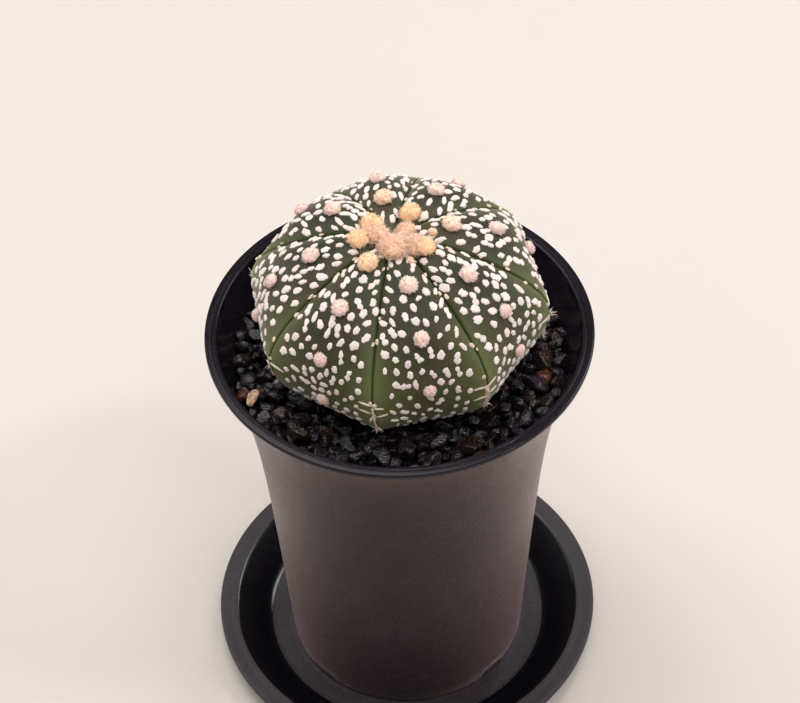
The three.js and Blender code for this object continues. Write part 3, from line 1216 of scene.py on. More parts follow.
        # Painted shade mask: strongest in the cleft, fading out near the crown.
        deep_shade = np.exp(-((gap / self.cleft_reach) ** 1.3)) * np.clip(radius / (10 * MM), 0, 1)
        rest = np.zeros(len(piece.data.vertices) - len(skin))
        paint(piece, "flank", np.concatenate([np.clip(flank, 0, 1), rest]))
        paint(piece, "cleft", np.concatenate([deep_shade, rest]))


# ------------------------------------------------------------------ flecks


class FleckKind(Enum):
    """What a pale mark on the skin is."""

    PAD = "pad"
    PAIR = "pair"
    STREAK = "streak"
    NUB = "nub"
    BAR = "bar"
    STALK = "stalk"


WHITE = np.array([0.745, 0.67, 0.66])
CREAM = np.array([0.76, 0.64, 0.51])
CROWN_CLEAR = 5.5 * MM

# The half lengths and half widths in millimetres of the kinds that are one long lobe.
LONG_LOBES: dict[FleckKind, tuple[Band, Band]] = {
    FleckKind.STREAK: ((1.3, 1.8), (0.55, 0.72)),
    FleckKind.STALK: ((0.7, 1.1), (0.3, 0.45)),
    FleckKind.BAR: ((1.6, 2.9), (0.26, 0.38)),
}
# A mark's cross section from its middle out to its edge: shares of its reach and of its height.
FLECK_LEVELS = ((0.35, 1.0), (0.7, 0.93), (0.88, 0.72), (0.97, 0.36), (1.0, -0.35))


@dataclass(frozen=True)
class MarkRow:
    """How the small marks in a row beside a groove are drawn; lengths are in millimetres."""

    kind: FleckKind
    start: Band
    step: Band
    inset: Band
    heading: Band
    height: Band
    colour: np.ndarray
    tone: Band


NUBS = MarkRow(
    FleckKind.NUB, start=(8, 14), step=(4, 15), inset=(0.3, 0.75), heading=(-40, 40),
    height=(0.25, 0.42), colour=CREAM, tone=(0.72, 0.95))
BARS = MarkRow(
    FleckKind.BAR, start=(45, 49), step=(2.6, 4.8), inset=(1.1, 2.3), heading=(70, 110),
    height=(0.22, 0.32), colour=(WHITE + CREAM) / 2, tone=(0.85, 1))


@dataclass
class Flecks:
    """The raised felted flecks of one rib, and the crust low in its grooves."""

    stem: Stem
    rib: int
    areoles: list[tuple[float, float]]
    seed: int = 11
    growth: tuple[float, ...] = (1.0, 1.1, 1.12, 1.12, 1.12, 1.12, 1.12, 1.04)
    crusted: tuple[int, ...] = (2, 2, 1, 1, 1, 1, 1, 1)
    tries: int = 5200
    around: int = 26
    pad_length: Band = (0.85, 1.3)
    pad_width: Band = (0.6, 0.85)
    nub_length: Band = (0.38, 0.8)
    nub_width: float = 0.7
    pair_step: Band = (0.6, 0.9)
    pair_size: Band = (0.72, 1.0)
    pair_shift: Band = (-0.3, 0.3)
    pair_width: Band = (0.75, 1.0)
    least_reach: float = 0.25 * MM
    wobble: float = 0.085
    roughness: float = 0.14
    smaller_from: float = 32 * MM
    smaller_to: float = 52 * MM
    smallest: float = 0.84
    arcs_used: Band = (5.5, 66)
    areole_gap: float = 1.1 * MM
    spacing: Band = (2.05, 2.5)
    height: Band = (0.26, 0.4)
    tone: Band = (0.9, 1.03)
    creaminess: Band = (0, 0.35)
    fan: float = 30
    last_nub: float = 50 * MM
    stalk_inset: float = 0.1 * MM
    stalk_height: float = 0.35 * MM

    def __post_init__(self) -> None:
        """Starts this rib's own random stream and its arc table."""
        self.random = np.random.default_rng(self.seed * 100 + self.rib)
        self.arcs, self.angles = self.stem.arc_table(self.rib)

    def angle_at(self, arc: float) -> float:
        """The angle from the crown at a length along the crest."""
        return float(np.interp(arc, self.arcs, self.angles))

    def half_width(self, arc: float) -> float:
        """Measures over the skin from the crest to the groove.

        Args:
            arc: length from the crown along the crest.

        Returns:
            The way to the groove.
        """
        azimuth = np.array(self.stem.rib_middle(self.rib))
        here = self.stem.point(azimuth, np.array(self.angle_at(arc)))
        start, end = self.stem.rib_span(self.rib)
        radius = math.hypot(here[0], here[1])
        return radius * math.radians(end - start) / 2

    def lobes(self, kind: FleckKind) -> list[tuple[float, float, float, float]]:
        """Draws the ellipses a mark is made of.

        Args:
            kind: what the mark is.

        Returns:
            Each one's middle, half length and half width.
        """
        draw = self.random
        if kind is FleckKind.PAD:
            length = draw.uniform(*self.pad_length) * MM
            return [(0, 0, length, length * draw.uniform(*self.pad_width))]
        if kind is FleckKind.NUB:
            length = draw.uniform(*self.nub_length) * MM
            return [(0, 0, length, length * self.nub_width)]
        if kind in LONG_LOBES:
            long, wide = LONG_LOBES[kind]
            return [(0, 0, draw.uniform(*long) * MM, draw.uniform(*wide) * MM)]
        step = draw.uniform(*self.pair_step) * MM
        pair = []
        for side in (-1, 1):
            size = draw.uniform(*self.pair_size) * MM
            shift = draw.uniform(*self.pair_shift) * MM
            pair.append((side * step, shift, size, size * draw.uniform(*self.pair_width)))
        return pair

    def outline(self, kind: FleckKind, turns: np.ndarray) -> np.ndarray:
        """Draws a mark's outline, its long axis along direction 0.

        Args:
            kind: what the mark is.
            turns: directions in radians.

        Returns:
            How far it reaches in each direction.
        """
        draw = self.random
        reach = np.full(len(turns), self.least_reach)
        for x, y, a, b in self.lobes(kind):
            ca = (np.cos(turns) / a) ** 2 + (np.sin(turns) / b) ** 2
            cb = x * np.cos(turns) / a**2 + y * np.sin(turns) / b**2
            cc = (x / a) ** 2 + (y / b) ** 2 - 1
            inside = cb**2 - ca * cc
            far = np.where(inside > 0, (cb + np.sqrt(np.maximum(inside, 0))) / ca, 0)
            reach = np.maximum(reach, far)
        wave = np.zeros(len(turns))
        for waves in (2, 3, 4, 5, 7, 9):
            size = draw.uniform(-self.wobble, self.wobble)
            wave += size * np.cos(waves * turns + draw.uniform(0, 6.28))
        return reach * (1 + wave) * self.growth[self.rib]

    def shape(
        self, arc: float, aside: float, heading: float, kind: FleckKind, height: float
    ) -> tuple[np.ndarray, list[np.ndarray]]:
        """Makes one mark, draped over the skin.

        Args:
            arc: length from the crown along the crest.
            aside: length over the skin from the crest.
            heading: degrees from the meridian to the mark's long axis.
            kind: what the mark is.
            height: how far it stands up.

        Returns:
            The corners and the faces by number of sides.
        """
        around = self.around
        turns = np.linspace(0, 2 * math.pi, around, endpoint=False)
        marks = [self.smaller_from, self.smaller_to]
        smaller = float(np.interp(arc, marks, [1.0, self.smallest]))
        reach = self.outline(kind, turns) * smaller
        angle = self.angle_at(arc)
        start, end = self.stem.rib_span(self.rib)
        crest = self.stem.rib_middle(self.rib)
        azimuth = crest + aside / self.half_width(arc) * (end - start) / 2
        here, step_aside, step_down, normal = self.stem.frame_at(azimuth, angle)
        per_degree = np.linalg.norm(step_aside)
        per_radian = np.linalg.norm(step_down)
        tilt = math.radians(heading)
        rows = []
        for share, lift in FLECK_LEVELS:
            along = share * reach * np.cos(turns + tilt)
            beside = share * reach * np.sin(turns + tilt)
            skin = self.stem.point(azimuth + beside / per_degree, angle + along / per_radian, True)
            rise = np.full(around, height * lift)
            if lift > 0:
                rise *= 1 + self.roughness * self.random.standard_normal(around)
            rows.append(skin + normal * rise[:, None])
        points = np.concatenate([*rows, (here + normal * height)[None]])
        quads = ring_faces(len(rows), around)[:, ::-1]
        cap = cap_faces(len(rows) * around, 0, around, True)[:, ::-1]
        return points, [quads, cap]

    def scatter(self) -> list[tuple[float, float]]:
        """Finds evenly loose places for the marks, clear of the areoles.

        Returns:
            Each one's (arc, aside).
        """
        draw = self.random
        placed: list[tuple[float, float, float]] = []
        for _ in range(self.tries):
            arc = draw.uniform(*self.arcs_used) * MM
            half = self.half_width(arc)
            low = np.clip((arc - 24 * MM) / (26 * MM), 0, 1)
            margin = (0.95 + 3.2 * low) * MM
            if half < margin + 0.1 * MM:
                continue
            aside = draw.uniform(-1, 1) * (half - margin)
            if any(math.hypot(arc - a, aside) < r + self.areole_gap for a, r in self.areoles):
                continue
            spacing = draw.uniform(*self.spacing) * MM * (1 + 0.04 * low)
            clear = all(
                ((arc - a) * 0.8) ** 2 + (aside - b) ** 2 > (0.5 * (spacing + s)) ** 2
                for a, b, s in placed)
            if clear:
                placed.append((arc, aside, spacing))
        return [(arc, aside) for arc, aside, _ in placed]

    def pick(self, high: float) -> FleckKind:
        """Chooses what a scattered mark is; streaks are commoner near the crown.

        Args:
            high: how near the crown it lies, up to 1.

        Returns:
            The kind.
        """
        roll = self.random.uniform()
        if roll < 0.08 + 0.22 * high:
            return FleckKind.STREAK
        if roll < 0.3 + 0.16 * high:
            return FleckKind.PAIR
        return FleckKind.PAD

    def make(self, finish: bpy.types.Material) -> bpy.types.Object:
        """Makes, dresses and seats every mark on this rib.

        Args:
            finish: the felt.

        Returns:
            The piece.
        """
        draw = self.random
        soup = Soup()
        for arc, aside in self.scatter():
            high = float(np.clip(1 - arc / (34 * MM), 0, 1))
            fan = self.fan * aside / self.half_width(arc)
            heading = draw.normal(-fan, 16 + 12 * (1 - high))
            tone = WHITE * draw.uniform(*self.tone)
            tone = tone + (CREAM - WHITE) * draw.uniform(*self.creaminess) * (0.5 + high)
            kind = self.pick(high)
            height = draw.uniform(*self.height) * MM
            points, groups = self.shape(arc, aside, heading, kind, height)
            soup.add(points, groups, tone)
        for side in (-1, 1):
            self.edge_marks(soup, side)
        piece = soup.make(f"flecks_rib{self.rib + 1}")
        dress(piece, finish)
        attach(piece, BODY)
        return piece

    def add_mark(self, soup: Soup, side: int, arc: float, row: MarkRow) -> float:
        """Adds one mark of a row.

        Args:
            soup: the mesh it is added to.
            side: -1 for the rib's first groove, 1 for its second.
            arc: length from the crown along the crest.
            row: how it is drawn.

        Returns:
            The arc of the row's next mark.
        """
        draw = self.random
        aside = side * (self.half_width(arc) - draw.uniform(*row.inset) * MM)
        heading = draw.uniform(*row.heading)
        height = draw.uniform(*row.height) * MM
        points, groups = self.shape(arc, aside, heading, row.kind, height)
        soup.add(points, groups, row.colour * draw.uniform(*row.tone))
        return arc + draw.uniform(*row.step) * MM

    def edge_marks(self, soup: Soup, side: int) -> None:
        """Adds the small nubs along one groove and the crust near the soil.

        Args:
            soup: the mesh they are added to.
            side: -1 for the rib's first groove, 1 for its second.
        """
        draw = self.random
        arc = draw.uniform(*NUBS.start) * MM
        while arc < self.last_nub:
            arc = self.add_mark(soup, side, arc, NUBS)
        groove = (self.rib + (side > 0)) % self.stem.ribs
        arc = draw.uniform(*BARS.start) * MM
        for _ in range(self.crusted[groove]):
            arc = self.add_mark(soup, side, arc, BARS)
        arc = draw.uniform(46.5, 48.5) * MM
        while side > 0 and arc < (45 + 6 * self.crusted[groove]) * MM:
            aside = self.half_width(arc) - self.stalk_inset
            heading = draw.uniform(-25, 25)
            points, groups = self.shape(arc, aside, heading, FleckKind.STALK, self.stalk_height)
            soup.add(points, groups, CREAM * draw.uniform(0.7, 0.95))
            arc += draw.uniform(1.0, 1.7) * MM


# ------------------------------------------------------------------ wool


WOOL_FIBRE = 0.065 * MM
DRY_FIBRE = 0.15 * MM
PEACH = np.array([1.0, 0.79, 0.53])
BEIGE = np.array([0.91, 0.75, 0.715])
ROSE = np.array([1.0, 0.84, 0.68])
# RED and the two shades make the tufts' deeper colours: partly the wool's own tone, and on the cores
# painted shade between the fibres.
RED = np.array([0.94, 0.47, 0.31])
OLD_SHADE = np.array([0.95, 0.86, 0.82])
YOUNG_SHADE = np.array([0.93, 0.7, 0.55])


@dataclass
class Tuft:
    """A pad of wool: a lumpy core under a coat of short fibres."""

    stem: Stem
    azimuth: float
    angle: float
    radius: float
    height: float
    colour: np.ndarray
    deep_shade: np.ndarray
    fibres: int
    loose: float
    seed: int
    lift: float = 0.28
    lumpiness: float = 0.22
    lump_scale: float = 2.9
    core_rings: int = 12
    core_around: int = 26
    root_depth: float = 0.86

    def add_to(self, soup: Soup) -> None:
        """Adds the tuft to a mesh.

        Args:
            soup: the mesh.
        """
        draw = np.random.default_rng(self.seed)
        here, _, down, normal = self.stem.frame_at(self.azimuth, self.angle)
        first = down / np.linalg.norm(down)
        second = np.cross(normal, first)
        basis = np.stack([first, second, normal], axis=1)
        seat = here + normal * self.height * self.lift
        self.add_core(soup, draw, basis, seat)
        self.add_coat(soup, draw, basis, seat)

    def reach(self, ways: np.ndarray) -> np.ndarray:
        """Measures the lumpy core.

        Args:
            ways: (n, 3) unit directions in the tuft's own frame.

        Returns:
            How far the core reaches along each.
        """
        offset = Vector((self.seed % 97, 3.1, 7.7))
        lumps = np.array([noise.noise(Vector(way) * self.lump_scale + offset) for way in ways])
        size = np.array([self.radius, self.radius * 0.94, self.height * 0.78])
        flat = 1 / np.sqrt(((ways / size) ** 2).sum(axis=1))
        return flat * (0.94 + self.lumpiness * lumps)

    def add_core(
        self, soup: Soup, draw: np.random.Generator, basis: np.ndarray, seat: np.ndarray
    ) -> None:
        """Adds the solid middle of the tuft, coloured deep as painted shade between the fibres.

        Args:
            soup: the mesh.
            draw: the tuft's random stream.
            basis: the tuft's axes, as columns.
            seat: the tuft's middle.
        """
        rings = self.core_rings
        around = self.core_around
        lean = np.linspace(0.12, 2.6, rings)
        turns = np.linspace(0, 2 * math.pi, around, endpoint=False)
        theta, phi = np.meshgrid(lean, turns, indexing="ij")
        ways = np.stack(
            [np.sin(theta) * np.cos(phi), np.sin(theta) * np.sin(phi), np.cos(theta)], axis=-1)
        ways = np.concatenate([ways.reshape(-1, 3), [[0, 0, 1.0], [0, 0, -1.0]]])
        reach = self.reach(ways) * draw.uniform(0.9, 1.0, len(ways))
        points = (ways * reach[:, None]) @ basis.T + seat
        groups = [
            ring_faces(rings, around),
            cap_faces(rings * around, 0, around, True),
            cap_faces(rings * around + 1, (rings - 1) * around, around, False)]
        # Painted shade: the core is mostly the deeper colour, which shows between the fibres as shade
        # in the crevices; partly the wool's own tone.
        share = draw.uniform(0.3, 1.0, (len(points), 1))
        soup.add(points, groups, self.colour * (1 - share) + self.deep_shade * share)

    def add_coat(
        self, soup: Soup, draw: np.random.Generator, basis: np.ndarray, seat: np.ndarray
    ) -> None:
        """Adds the fibres that stand all over the core.

        Args:
            soup: the mesh.
            draw: the tuft's random stream.
            basis: the tuft's axes, as columns.
            seat: the tuft's middle.
        """
        shape = (self.fibres, 3)
        ways = draw.standard_normal(shape)
        ways[:, 2] = np.abs(ways[:, 2]) * 0.95 - 0.25
        ways /= np.linalg.norm(ways, axis=1, keepdims=True)
        reach = self.reach(ways)
        starts = ways * (reach * self.root_depth)[:, None]
        lean = draw.standard_normal(shape) * self.loose * self.radius
        length = draw.uniform(1.0, 1.0 + self.loose, (self.fibres, 1))
        ends = ways * reach[:, None] * length + lean
        bow = draw.standard_normal(shape) * 0.4 * self.loose * self.radius
        points, groups = fibre_shapes(
            starts @ basis.T + seat, ends @ basis.T + seat, bow @ basis.T, WOOL_FIBRE)
        share = draw.uniform(0, 1, self.fibres) ** 3.2
        share = np.repeat(share, FIBRE_CORNERS)[:, None]
        soup.add(points, groups, self.colour * (1 - share) + self.deep_shade * share)


@dataclass
class WoolWork:
    """Every woolly part of the plant: the crown, the areoles and the dry tufts at the foot."""

    stem: Stem
    per_rib: int = 3
    radius: float = 2.35 * MM
    lowest_arc: float = 52 * MM
    areole_height: float = 0.88
    crown_height: float = 0.85
    areole_fibres: int = 900
    crown_fibres: int = 560
    dry_fibres: int = 16
    crown: tuple[tuple[float, float, float], ...] = (
        (4, 5.0, 4.2), (262, 4.6, 3.6), (117, 3.8, 2.7), (52, 7.2, 3.3), (320, 3.2, 2.2),
        (285, 10.2, 1.3), (25, 10.2, 1.1), (215, 9.6, 1.2), (92, 10.6, 1.2))

    def areoles_of(self, rib: int) -> list[tuple[float, float]]:
        """Places a rib's areoles, which are smaller lower down.

        Args:
            rib: its number.

        Returns:
            Each one's (arc, radius).
        """
        first = self.stem.first_areole[rib] * MM
        marks = np.array([10, 22, 34, 46]) * MM
        result = []
        for i in range(self.per_rib + 2):
            arc = first + i * self.stem.areole_spacing[rib] * MM
            if arc < self.lowest_arc:
                size = float(np.interp(arc, marks, [1.12, 1.04, 0.84, 0.74]))
                result.append((arc, self.radius * size))
        return result

    def colour_at(self, arc: float) -> np.ndarray:
        """Peach-yellow beside the crown, beige lower down."""
        share = float(np.clip((arc - 10 * MM) / (8 * MM), 0, 1))
        return PEACH * (1 - share) + BEIGE * share

    def make_areole(self, rib: int, index: int, finish: bpy.types.Material) -> bpy.types.Object:
        """Makes, dresses and seats one areole's tuft.

        Args:
            rib: the rib's number.
            index: the areole's number, from the crown.
            finish: the wool.

        Returns:
            The piece.
        """
        arc, radius = self.areoles_of(rib)[index]
        young = float(np.clip(1 - (arc - 8 * MM) / (8 * MM), 0, 1))
        size = radius * (1 + 0.1 * young)
        colour = self.colour_at(arc)
        tuft = Tuft(
            stem=self.stem, azimuth=self.stem.rib_middle(rib), angle=self.stem.angle_on(rib, arc),
            radius=size, height=size * self.areole_height, colour=colour,
            deep_shade=colour * (OLD_SHADE * (1 - young) + YOUNG_SHADE * young),
            fibres=self.areole_fibres, loose=0.07 + 0.04 * young, seed=1000 + rib * 10 + index)
        soup = Soup()
        tuft.add_to(soup)
        piece = soup.make(f"areole_tuft_rib{rib + 1}_{index + 1}")
        dress(piece, finish)
        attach(piece, BODY)
        if index < self.per_rib:
            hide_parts(f"areole_rib{rib + 1}_{index + 1}")
        return piece

    def make_crown(self, finish: bpy.types.Material) -> bpy.types.Object:
        """Makes, dresses and seats the cluster of young tufts in the crown.

        Args:
            finish: the wool.

        Returns:
            The piece.
        """
        soup = Soup()
        for i, (azimuth, arc, radius) in enumerate(self.crown):
            tuft = Tuft(
                stem=self.stem, azimuth=azimuth, angle=self.stem.angle_on(0, arc * MM),
                radius=radius * MM, height=radius * self.crown_height * MM, colour=ROSE, deep_shade=RED,
                fibres=int(self.crown_fibres * radius), loose=0.13, seed=500 + i)
            tuft.add_to(soup)
        piece = soup.make("crown_tufts")
        dress(piece, finish)
        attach(piece, BODY)
        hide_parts("crown_wool")
        return piece

    def make_dry_tufts(self, finish: bpy.types.Material) -> bpy.types.Object:
        """Makes, dresses and seats the stiff dry tufts where the grooves meet the gravel.

        Args:
            finish: the wool.

        Returns:
            The piece.
        """
        draw = np.random.default_rng(77)
        count = self.dry_fibres
        soup = Soup()
        for rib in range(self.stem.ribs):
            for arc in (draw.uniform(47, 50), draw.uniform(54, 57)):
                angle = self.stem.angle_on(rib, arc * MM)
                azimuth = self.stem.rib_span(rib)[0] + draw.uniform(-1, 1)
                here, aside, down, normal = self.stem.frame_at(azimuth, angle)
                spread = draw.standard_normal((count, 3))
                aside = aside / np.linalg.norm(aside)
                down = down / np.linalg.norm(down)
                ways = normal * 0.55 + spread[:, :1] * aside * 0.75 + spread[:, 1:2] * down * 0.45
                ways /= np.linalg.norm(ways, axis=1, keepdims=True)
                starts = np.tile(here + normal * 0.3 * MM, (count, 1))
                ends = starts + ways * draw.uniform(0.9, 2.5, (count, 1)) * MM
                bow = draw.standard_normal((count, 3)) * 0.08 * MM
                points, groups = fibre_shapes(starts, ends, bow, DRY_FIBRE)
                tone = np.repeat(draw.uniform(0.7, 1, count), FIBRE_CORNERS)[:, None]
                soup.add(points, groups, (WHITE + CREAM) / 2 * tone)
        piece = soup.make("dry_tufts")
        dress(piece, finish)
        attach(piece, BODY)
        return piece


# ------------------------------------------------------------------ gravel


TAN_STONE = "loose_stone_15"
TAN = np.array([0.85, 0.56, 0.34])
RUSTY = np.array([0.09, 0.03, 0.014])
BROWN = np.array([0.026, 0.013, 0.008])
BLACK = np.array([0.0085, 0.005, 0.0075])
PURPLE = np.array([0.017, 0.0095, 0.0175])
GRIT = 0.01
OUT_OF_REACH = 1.0


@dataclass
class Gravel:
    """The top dressing of black lava stones, packed stone by stone."""

    rim: float
    stem: Stem
    pot: Pot
    level: float = 9.6 * MM
    depth: float = 5.5 * MM
    tries: int = 1500
    sectors: int = 10
    seed: int = 5
    shapes: int = 18
    facets: int = 11
    trials: int = 60
    usual: float = 1.78
    variety: float = 0.26
    smallest: float = 1.1
    largest: float = 2.9
    nearest: float = 20.0
    farthest: float = 44.5
    closeness: float = 0.9
    bedded: float = 0.6
    clearance: float = 0.8
    proud: float = 0.35
    fine_depth: float = 3.2 * MM
    facet_reach: Band = (0.76, 1.0)
    sharpness: Band = (34, 60)
    longest: float = 1.25
    proportions: tuple[Band, ...] = ((1.12, 1.3), (0.8, 1.05), (0.6, 0.85))
    coarse_relief: float = 0.024
    fine_relief: float = 0.01
    pressed: float = 0.78
    tones: Band = (0.4, 1.9)
    rusty_share: float = 0.03
    brown_share: float = 0.18
    painted_light_brown_gain: float = 0.3
    black_share: float = 0.5
    tip: float = 0.55
    roll: float = 0.4

    def __post_init__(self) -> None:
        """Starts the random stream and the table of the stem's radius by height."""
        self.random = np.random.default_rng(self.seed)
        samples = 60
        angles = np.linspace(1.6, self.stem.lowest, samples)
        line = self.stem.point(np.full(samples, self.stem.rib_middle(0)), angles)
        order = np.argsort(line[:, 2])
        self.stem_z = line[order, 2]
        self.stem_r = np.hypot(line[order, 0], line[order, 1])

    def pack(self, fixed: list[tuple[float, float, float, float]]) -> np.ndarray:
        """Drops stones one by one, each to the lowest of some trial places.

        Args:
            fixed: (x, y, z, radius) of the stones that already have a place.

        Returns:
            (n, 4) rows of x, y, z, radius of the new stones.
        """
        draw = self.random
        floor = self.rim - self.level - self.depth
        top = self.rim - self.level
        stones = np.array(fixed, float).reshape(-1, 4)
        own = len(stones)
        for _ in range(self.tries):
            size = draw.lognormal(math.log(self.usual), self.variety)
            radius = float(np.clip(size, self.smallest, self.largest)) * MM
            azimuth = draw.uniform(0, 2 * math.pi, self.trials)
            reach = np.sqrt(draw.uniform(self.nearest**2, self.farthest**2, self.trials)) * MM
            x = reach * np.sin(azimuth)
            y = -reach * np.cos(azimuth)
            z = np.full(self.trials, floor + self.bedded * radius)
            gap = np.hypot(x[:, None] - stones[None, :, 0], y[:, None] - stones[None, :, 1])
            near = self.closeness * (radius + stones[None, :, 3])
            rise = np.sqrt(np.maximum(near**2 - gap**2, 0))
            lift = np.where(gap < near, stones[None, :, 2] + rise, -1)
            if len(stones):
                z = np.maximum(z, lift.max(axis=1))
            wall = np.array([self.pot.radius(max(self.rim - h, 0.0)) for h in z]) - self.pot.wall
            trunk = np.interp(z + 0.5 * radius, self.stem_z, self.stem_r)
            spare = self.clearance * radius
            free = (reach + spare < wall) & (reach - spare > trunk)
            z = np.where(free, z, OUT_OF_REACH)
            best = int(np.argmin(z))
            if z[best] + self.proud * radius > top:
                continue
            stones = np.concatenate([stones, [[x[best], y[best], z[best], radius]]])
        return stones[own:]

    def prototype(self, index: int, level: int) -> tuple[np.ndarray, np.ndarray]:
        """A stone of about unit radius with flat broken faces and a rough skin.

        Args:
            index: which of the shapes it is.
            level: how finely it is divided.

        Returns:
            Its corners and triangles.
        """
        draw = np.random.default_rng(900 + index)
        bm = bmesh.new()
        bmesh.ops.create_icosphere(bm, subdivisions=level, radius=1)
        ways = np.array([vertex.co for vertex in bm.verts])
        faces = np.array([[vertex.index for vertex in face.verts] for face in bm.faces])
        bm.free()
        ways /= np.linalg.norm(ways, axis=1, keepdims=True)
        planes = draw.standard_normal((self.facets, 3))
        planes /= np.linalg.norm(planes, axis=1, keepdims=True)
        far = draw.uniform(*self.facet_reach, self.facets)
        facing = np.maximum(ways @ planes.T / far, 0.0)
        sharp = draw.uniform(*self.sharpness)
        reach = (facing**sharp).sum(axis=1) ** (-1 / sharp)
        reach = np.minimum(reach, self.longest)
        offset = Vector((index * 3.7, 1.3, 5.1))
        places = [Vector(way) for way in ways]
        coarse = np.array([noise.fractal(way * 2.4 + offset, 0.7, 2.2, 4) for way in places])
        fine = 0
        if level > 3:
            fine = np.array([noise.cell(way * 7 + offset) for way in places])
        reach = reach * (1 + self.coarse_relief * coarse + self.fine_relief * fine)
        proportions = np.array([draw.uniform(*band) for band in self.proportions])
        return ways * reach[:, None] * proportions, faces

    def tint(self, x: float) -> np.ndarray:
        """Draws a stone's colour: its own black or purple, and on the right more often brown, which is
        partly painted warm light.

        Args:
            x: where the stone lies from left to right.

        Returns:
            The colour.
        """
        side = x / self.stem.radius
        tone = self.random.uniform(*self.tones)
        if self.random.uniform() < self.rusty_share:
            return RUSTY * tone
        # Painted light: brown comes more often towards the right, where the warm light falls.
        if self.random.uniform() < self.brown_share + self.painted_light_brown_gain * max(side, 0.0):
            return BROWN * tone
        if self.random.uniform() < self.black_share:
            return BLACK * tone
        return PURPLE * tone

    def turn(self) -> np.ndarray:
        """Draws a way for a stone to lie: any heading, seldom far from flat.

        Returns:
            The rotation.
        """
        spin = Matrix.Rotation(self.random.uniform(0, 2 * math.pi), 3, "Z")
        tip = Matrix.Rotation(self.random.normal(0, self.tip), 3, "X")
        roll = Matrix.Rotation(self.random.normal(0, self.roll), 3, "Y")
        return np.array(spin @ tip @ roll)

    def make_loose(self, name: str, shape: tuple[np.ndarray, np.ndarray], middle: Vector,
                   size: float, finish: bpy.types.Material) -> bpy.types.Object:
        """Makes, dresses and seats one of the stones on top.

        Args:
            name: its node.
            shape: the corners and triangles it is made from.
            middle: where it lies.
            size: its half width.
            finish: the lava stone finish.

        Returns:
            The piece.
        """
        points, faces = shape
        heading = np.array(Matrix.Rotation(self.random.uniform(0, 6.28), 3, "Z"))
        colour = TAN if name == TAN_STONE else self.tint(middle.x)
        soup = Soup()
        soup.add(points @ heading.T * size * self.pressed + np.array(middle), [faces], colour)
        piece = soup.make(name.replace("loose", "top"))
        dress(piece, finish)
        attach(piece, BODY)
        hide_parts(name)
        return piece

    def make(self, names: list[str], finish: bpy.types.Material) -> list[bpy.types.Object]:
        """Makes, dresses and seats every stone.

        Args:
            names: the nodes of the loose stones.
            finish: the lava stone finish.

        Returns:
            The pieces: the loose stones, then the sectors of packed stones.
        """
        fine = [self.prototype(i, 4) for i in range(self.shapes)]
        plain = [self.prototype(i, 3) for i in range(self.shapes)]
        pieces = []
        fixed = []
        for i, name in enumerate(names):
            low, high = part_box(name)
            middle = (low + high) / 2
            size = max((high - low).x, (high - low).y) / 2
            fixed.append((middle.x, middle.y, middle.z, size * 0.9))
            pieces.append(self.make_loose(name, fine[i % self.shapes], middle, size, finish))
        stones = self.pack(fixed)
        soups = [Soup() for _ in range(self.sectors)]
        upper = self.rim - self.level - self.fine_depth
        for x, y, z, radius in stones:
            azimuth = math.degrees(math.atan2(x, -y)) % 360
            pool = fine if z > upper else plain
            points, faces = pool[int(self.random.integers(self.shapes))]
            placed = points @ self.turn().T * radius + np.array([x, y, z])
            sector = int(azimuth / 360 * self.sectors) % self.sectors
            soups[sector].add(placed, [faces], self.tint(x))
        for i, soup in enumerate(soups):
            piece = soup.make(f"gravel_{i + 1:02d}")
            dress(piece, finish)
            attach(piece, BODY)
            pieces.append(piece)
        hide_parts("gravel_bed")
        LOG.info("gravel: %d loose and packed stones", len(names) + len(stones))
        return pieces

    def make_grit(self, finish: bpy.types.Material) -> bpy.types.Object:
        """Makes the dark lumpy grit that shows between the stones.

        Args:
            finish: the lava stone finish.

        Returns:
            The piece.
        """
        around, rings = 180, 30
        turns = np.linspace(0, 2 * math.pi, around, endpoint=False)
        floor = self.rim - self.level - self.depth - 0.8 * MM
        outer = self.pot.radius(self.rim - floor) - self.pot.wall - 0.4 * MM
        reach = np.linspace(outer, 12 * MM, rings)
        radius, angle = np.meshgrid(reach, turns, indexing="ij")
        x = radius * np.sin(angle)
        y = -radius * np.cos(angle)
        scale = 700
        spots = [Vector((a * scale, b * scale, 0.5)) for a, b in zip(x.ravel(), y.ravel())]
        lumps = np.array([noise.fractal(spot, 0.8, 2.1, 3) for spot in spots])
        z = floor + 0.5 * MM * lumps.reshape(x.shape)
        upper = np.stack([x, y, z], axis=-1).reshape(-1, 3)
        lower = upper[::-1].reshape(rings, around, 3)[:, ::-1].copy()
        lower[:, :, 2] = floor - 2 * MM
        points = np.concatenate([upper, lower.reshape(-1, 3)])
        quads = ring_faces(2 * rings, around)
        closing = ring_faces(2, around)
        last = (2 * rings - 1) * around
        closing = np.where(closing < around, closing + last, closing - around)
        piece = mesh_object("grit_layer", points, [quads[:, ::-1], closing[:, ::-1]])
        paint_colour(piece, TINT, np.full((len(points), 3), GRIT))
        dress(piece, finish)
        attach(piece, BODY)
        return piece


# ------------------------------------------------------------------ studio


@dataclass(frozen=True)
class Softbox:
    """A soft rectangular light that faces the plant."""

    name: str
    place: tuple[float, float, float]
    size: tuple[float, float]
    power: float
    colour: Colour

    def hang(self, aim: Vector) -> None:
        """Hangs the light.

        Args:
            aim: the place it faces.
        """
        data = bpy.data.lights.new(self.name, "AREA")
        data.shape = "RECTANGLE"
        data.size, data.size_y = self.size
        data.energy = self.power
        data.color = self.colour
        lamp = bpy.data.objects.new(self.name, data)
        lamp.location = self.place
        way = aim - Vector(self.place)
        lamp.rotation_euler = way.to_track_quat("-Z", "Y").to_euler()
        bpy.context.scene.collection.objects.link(lamp)


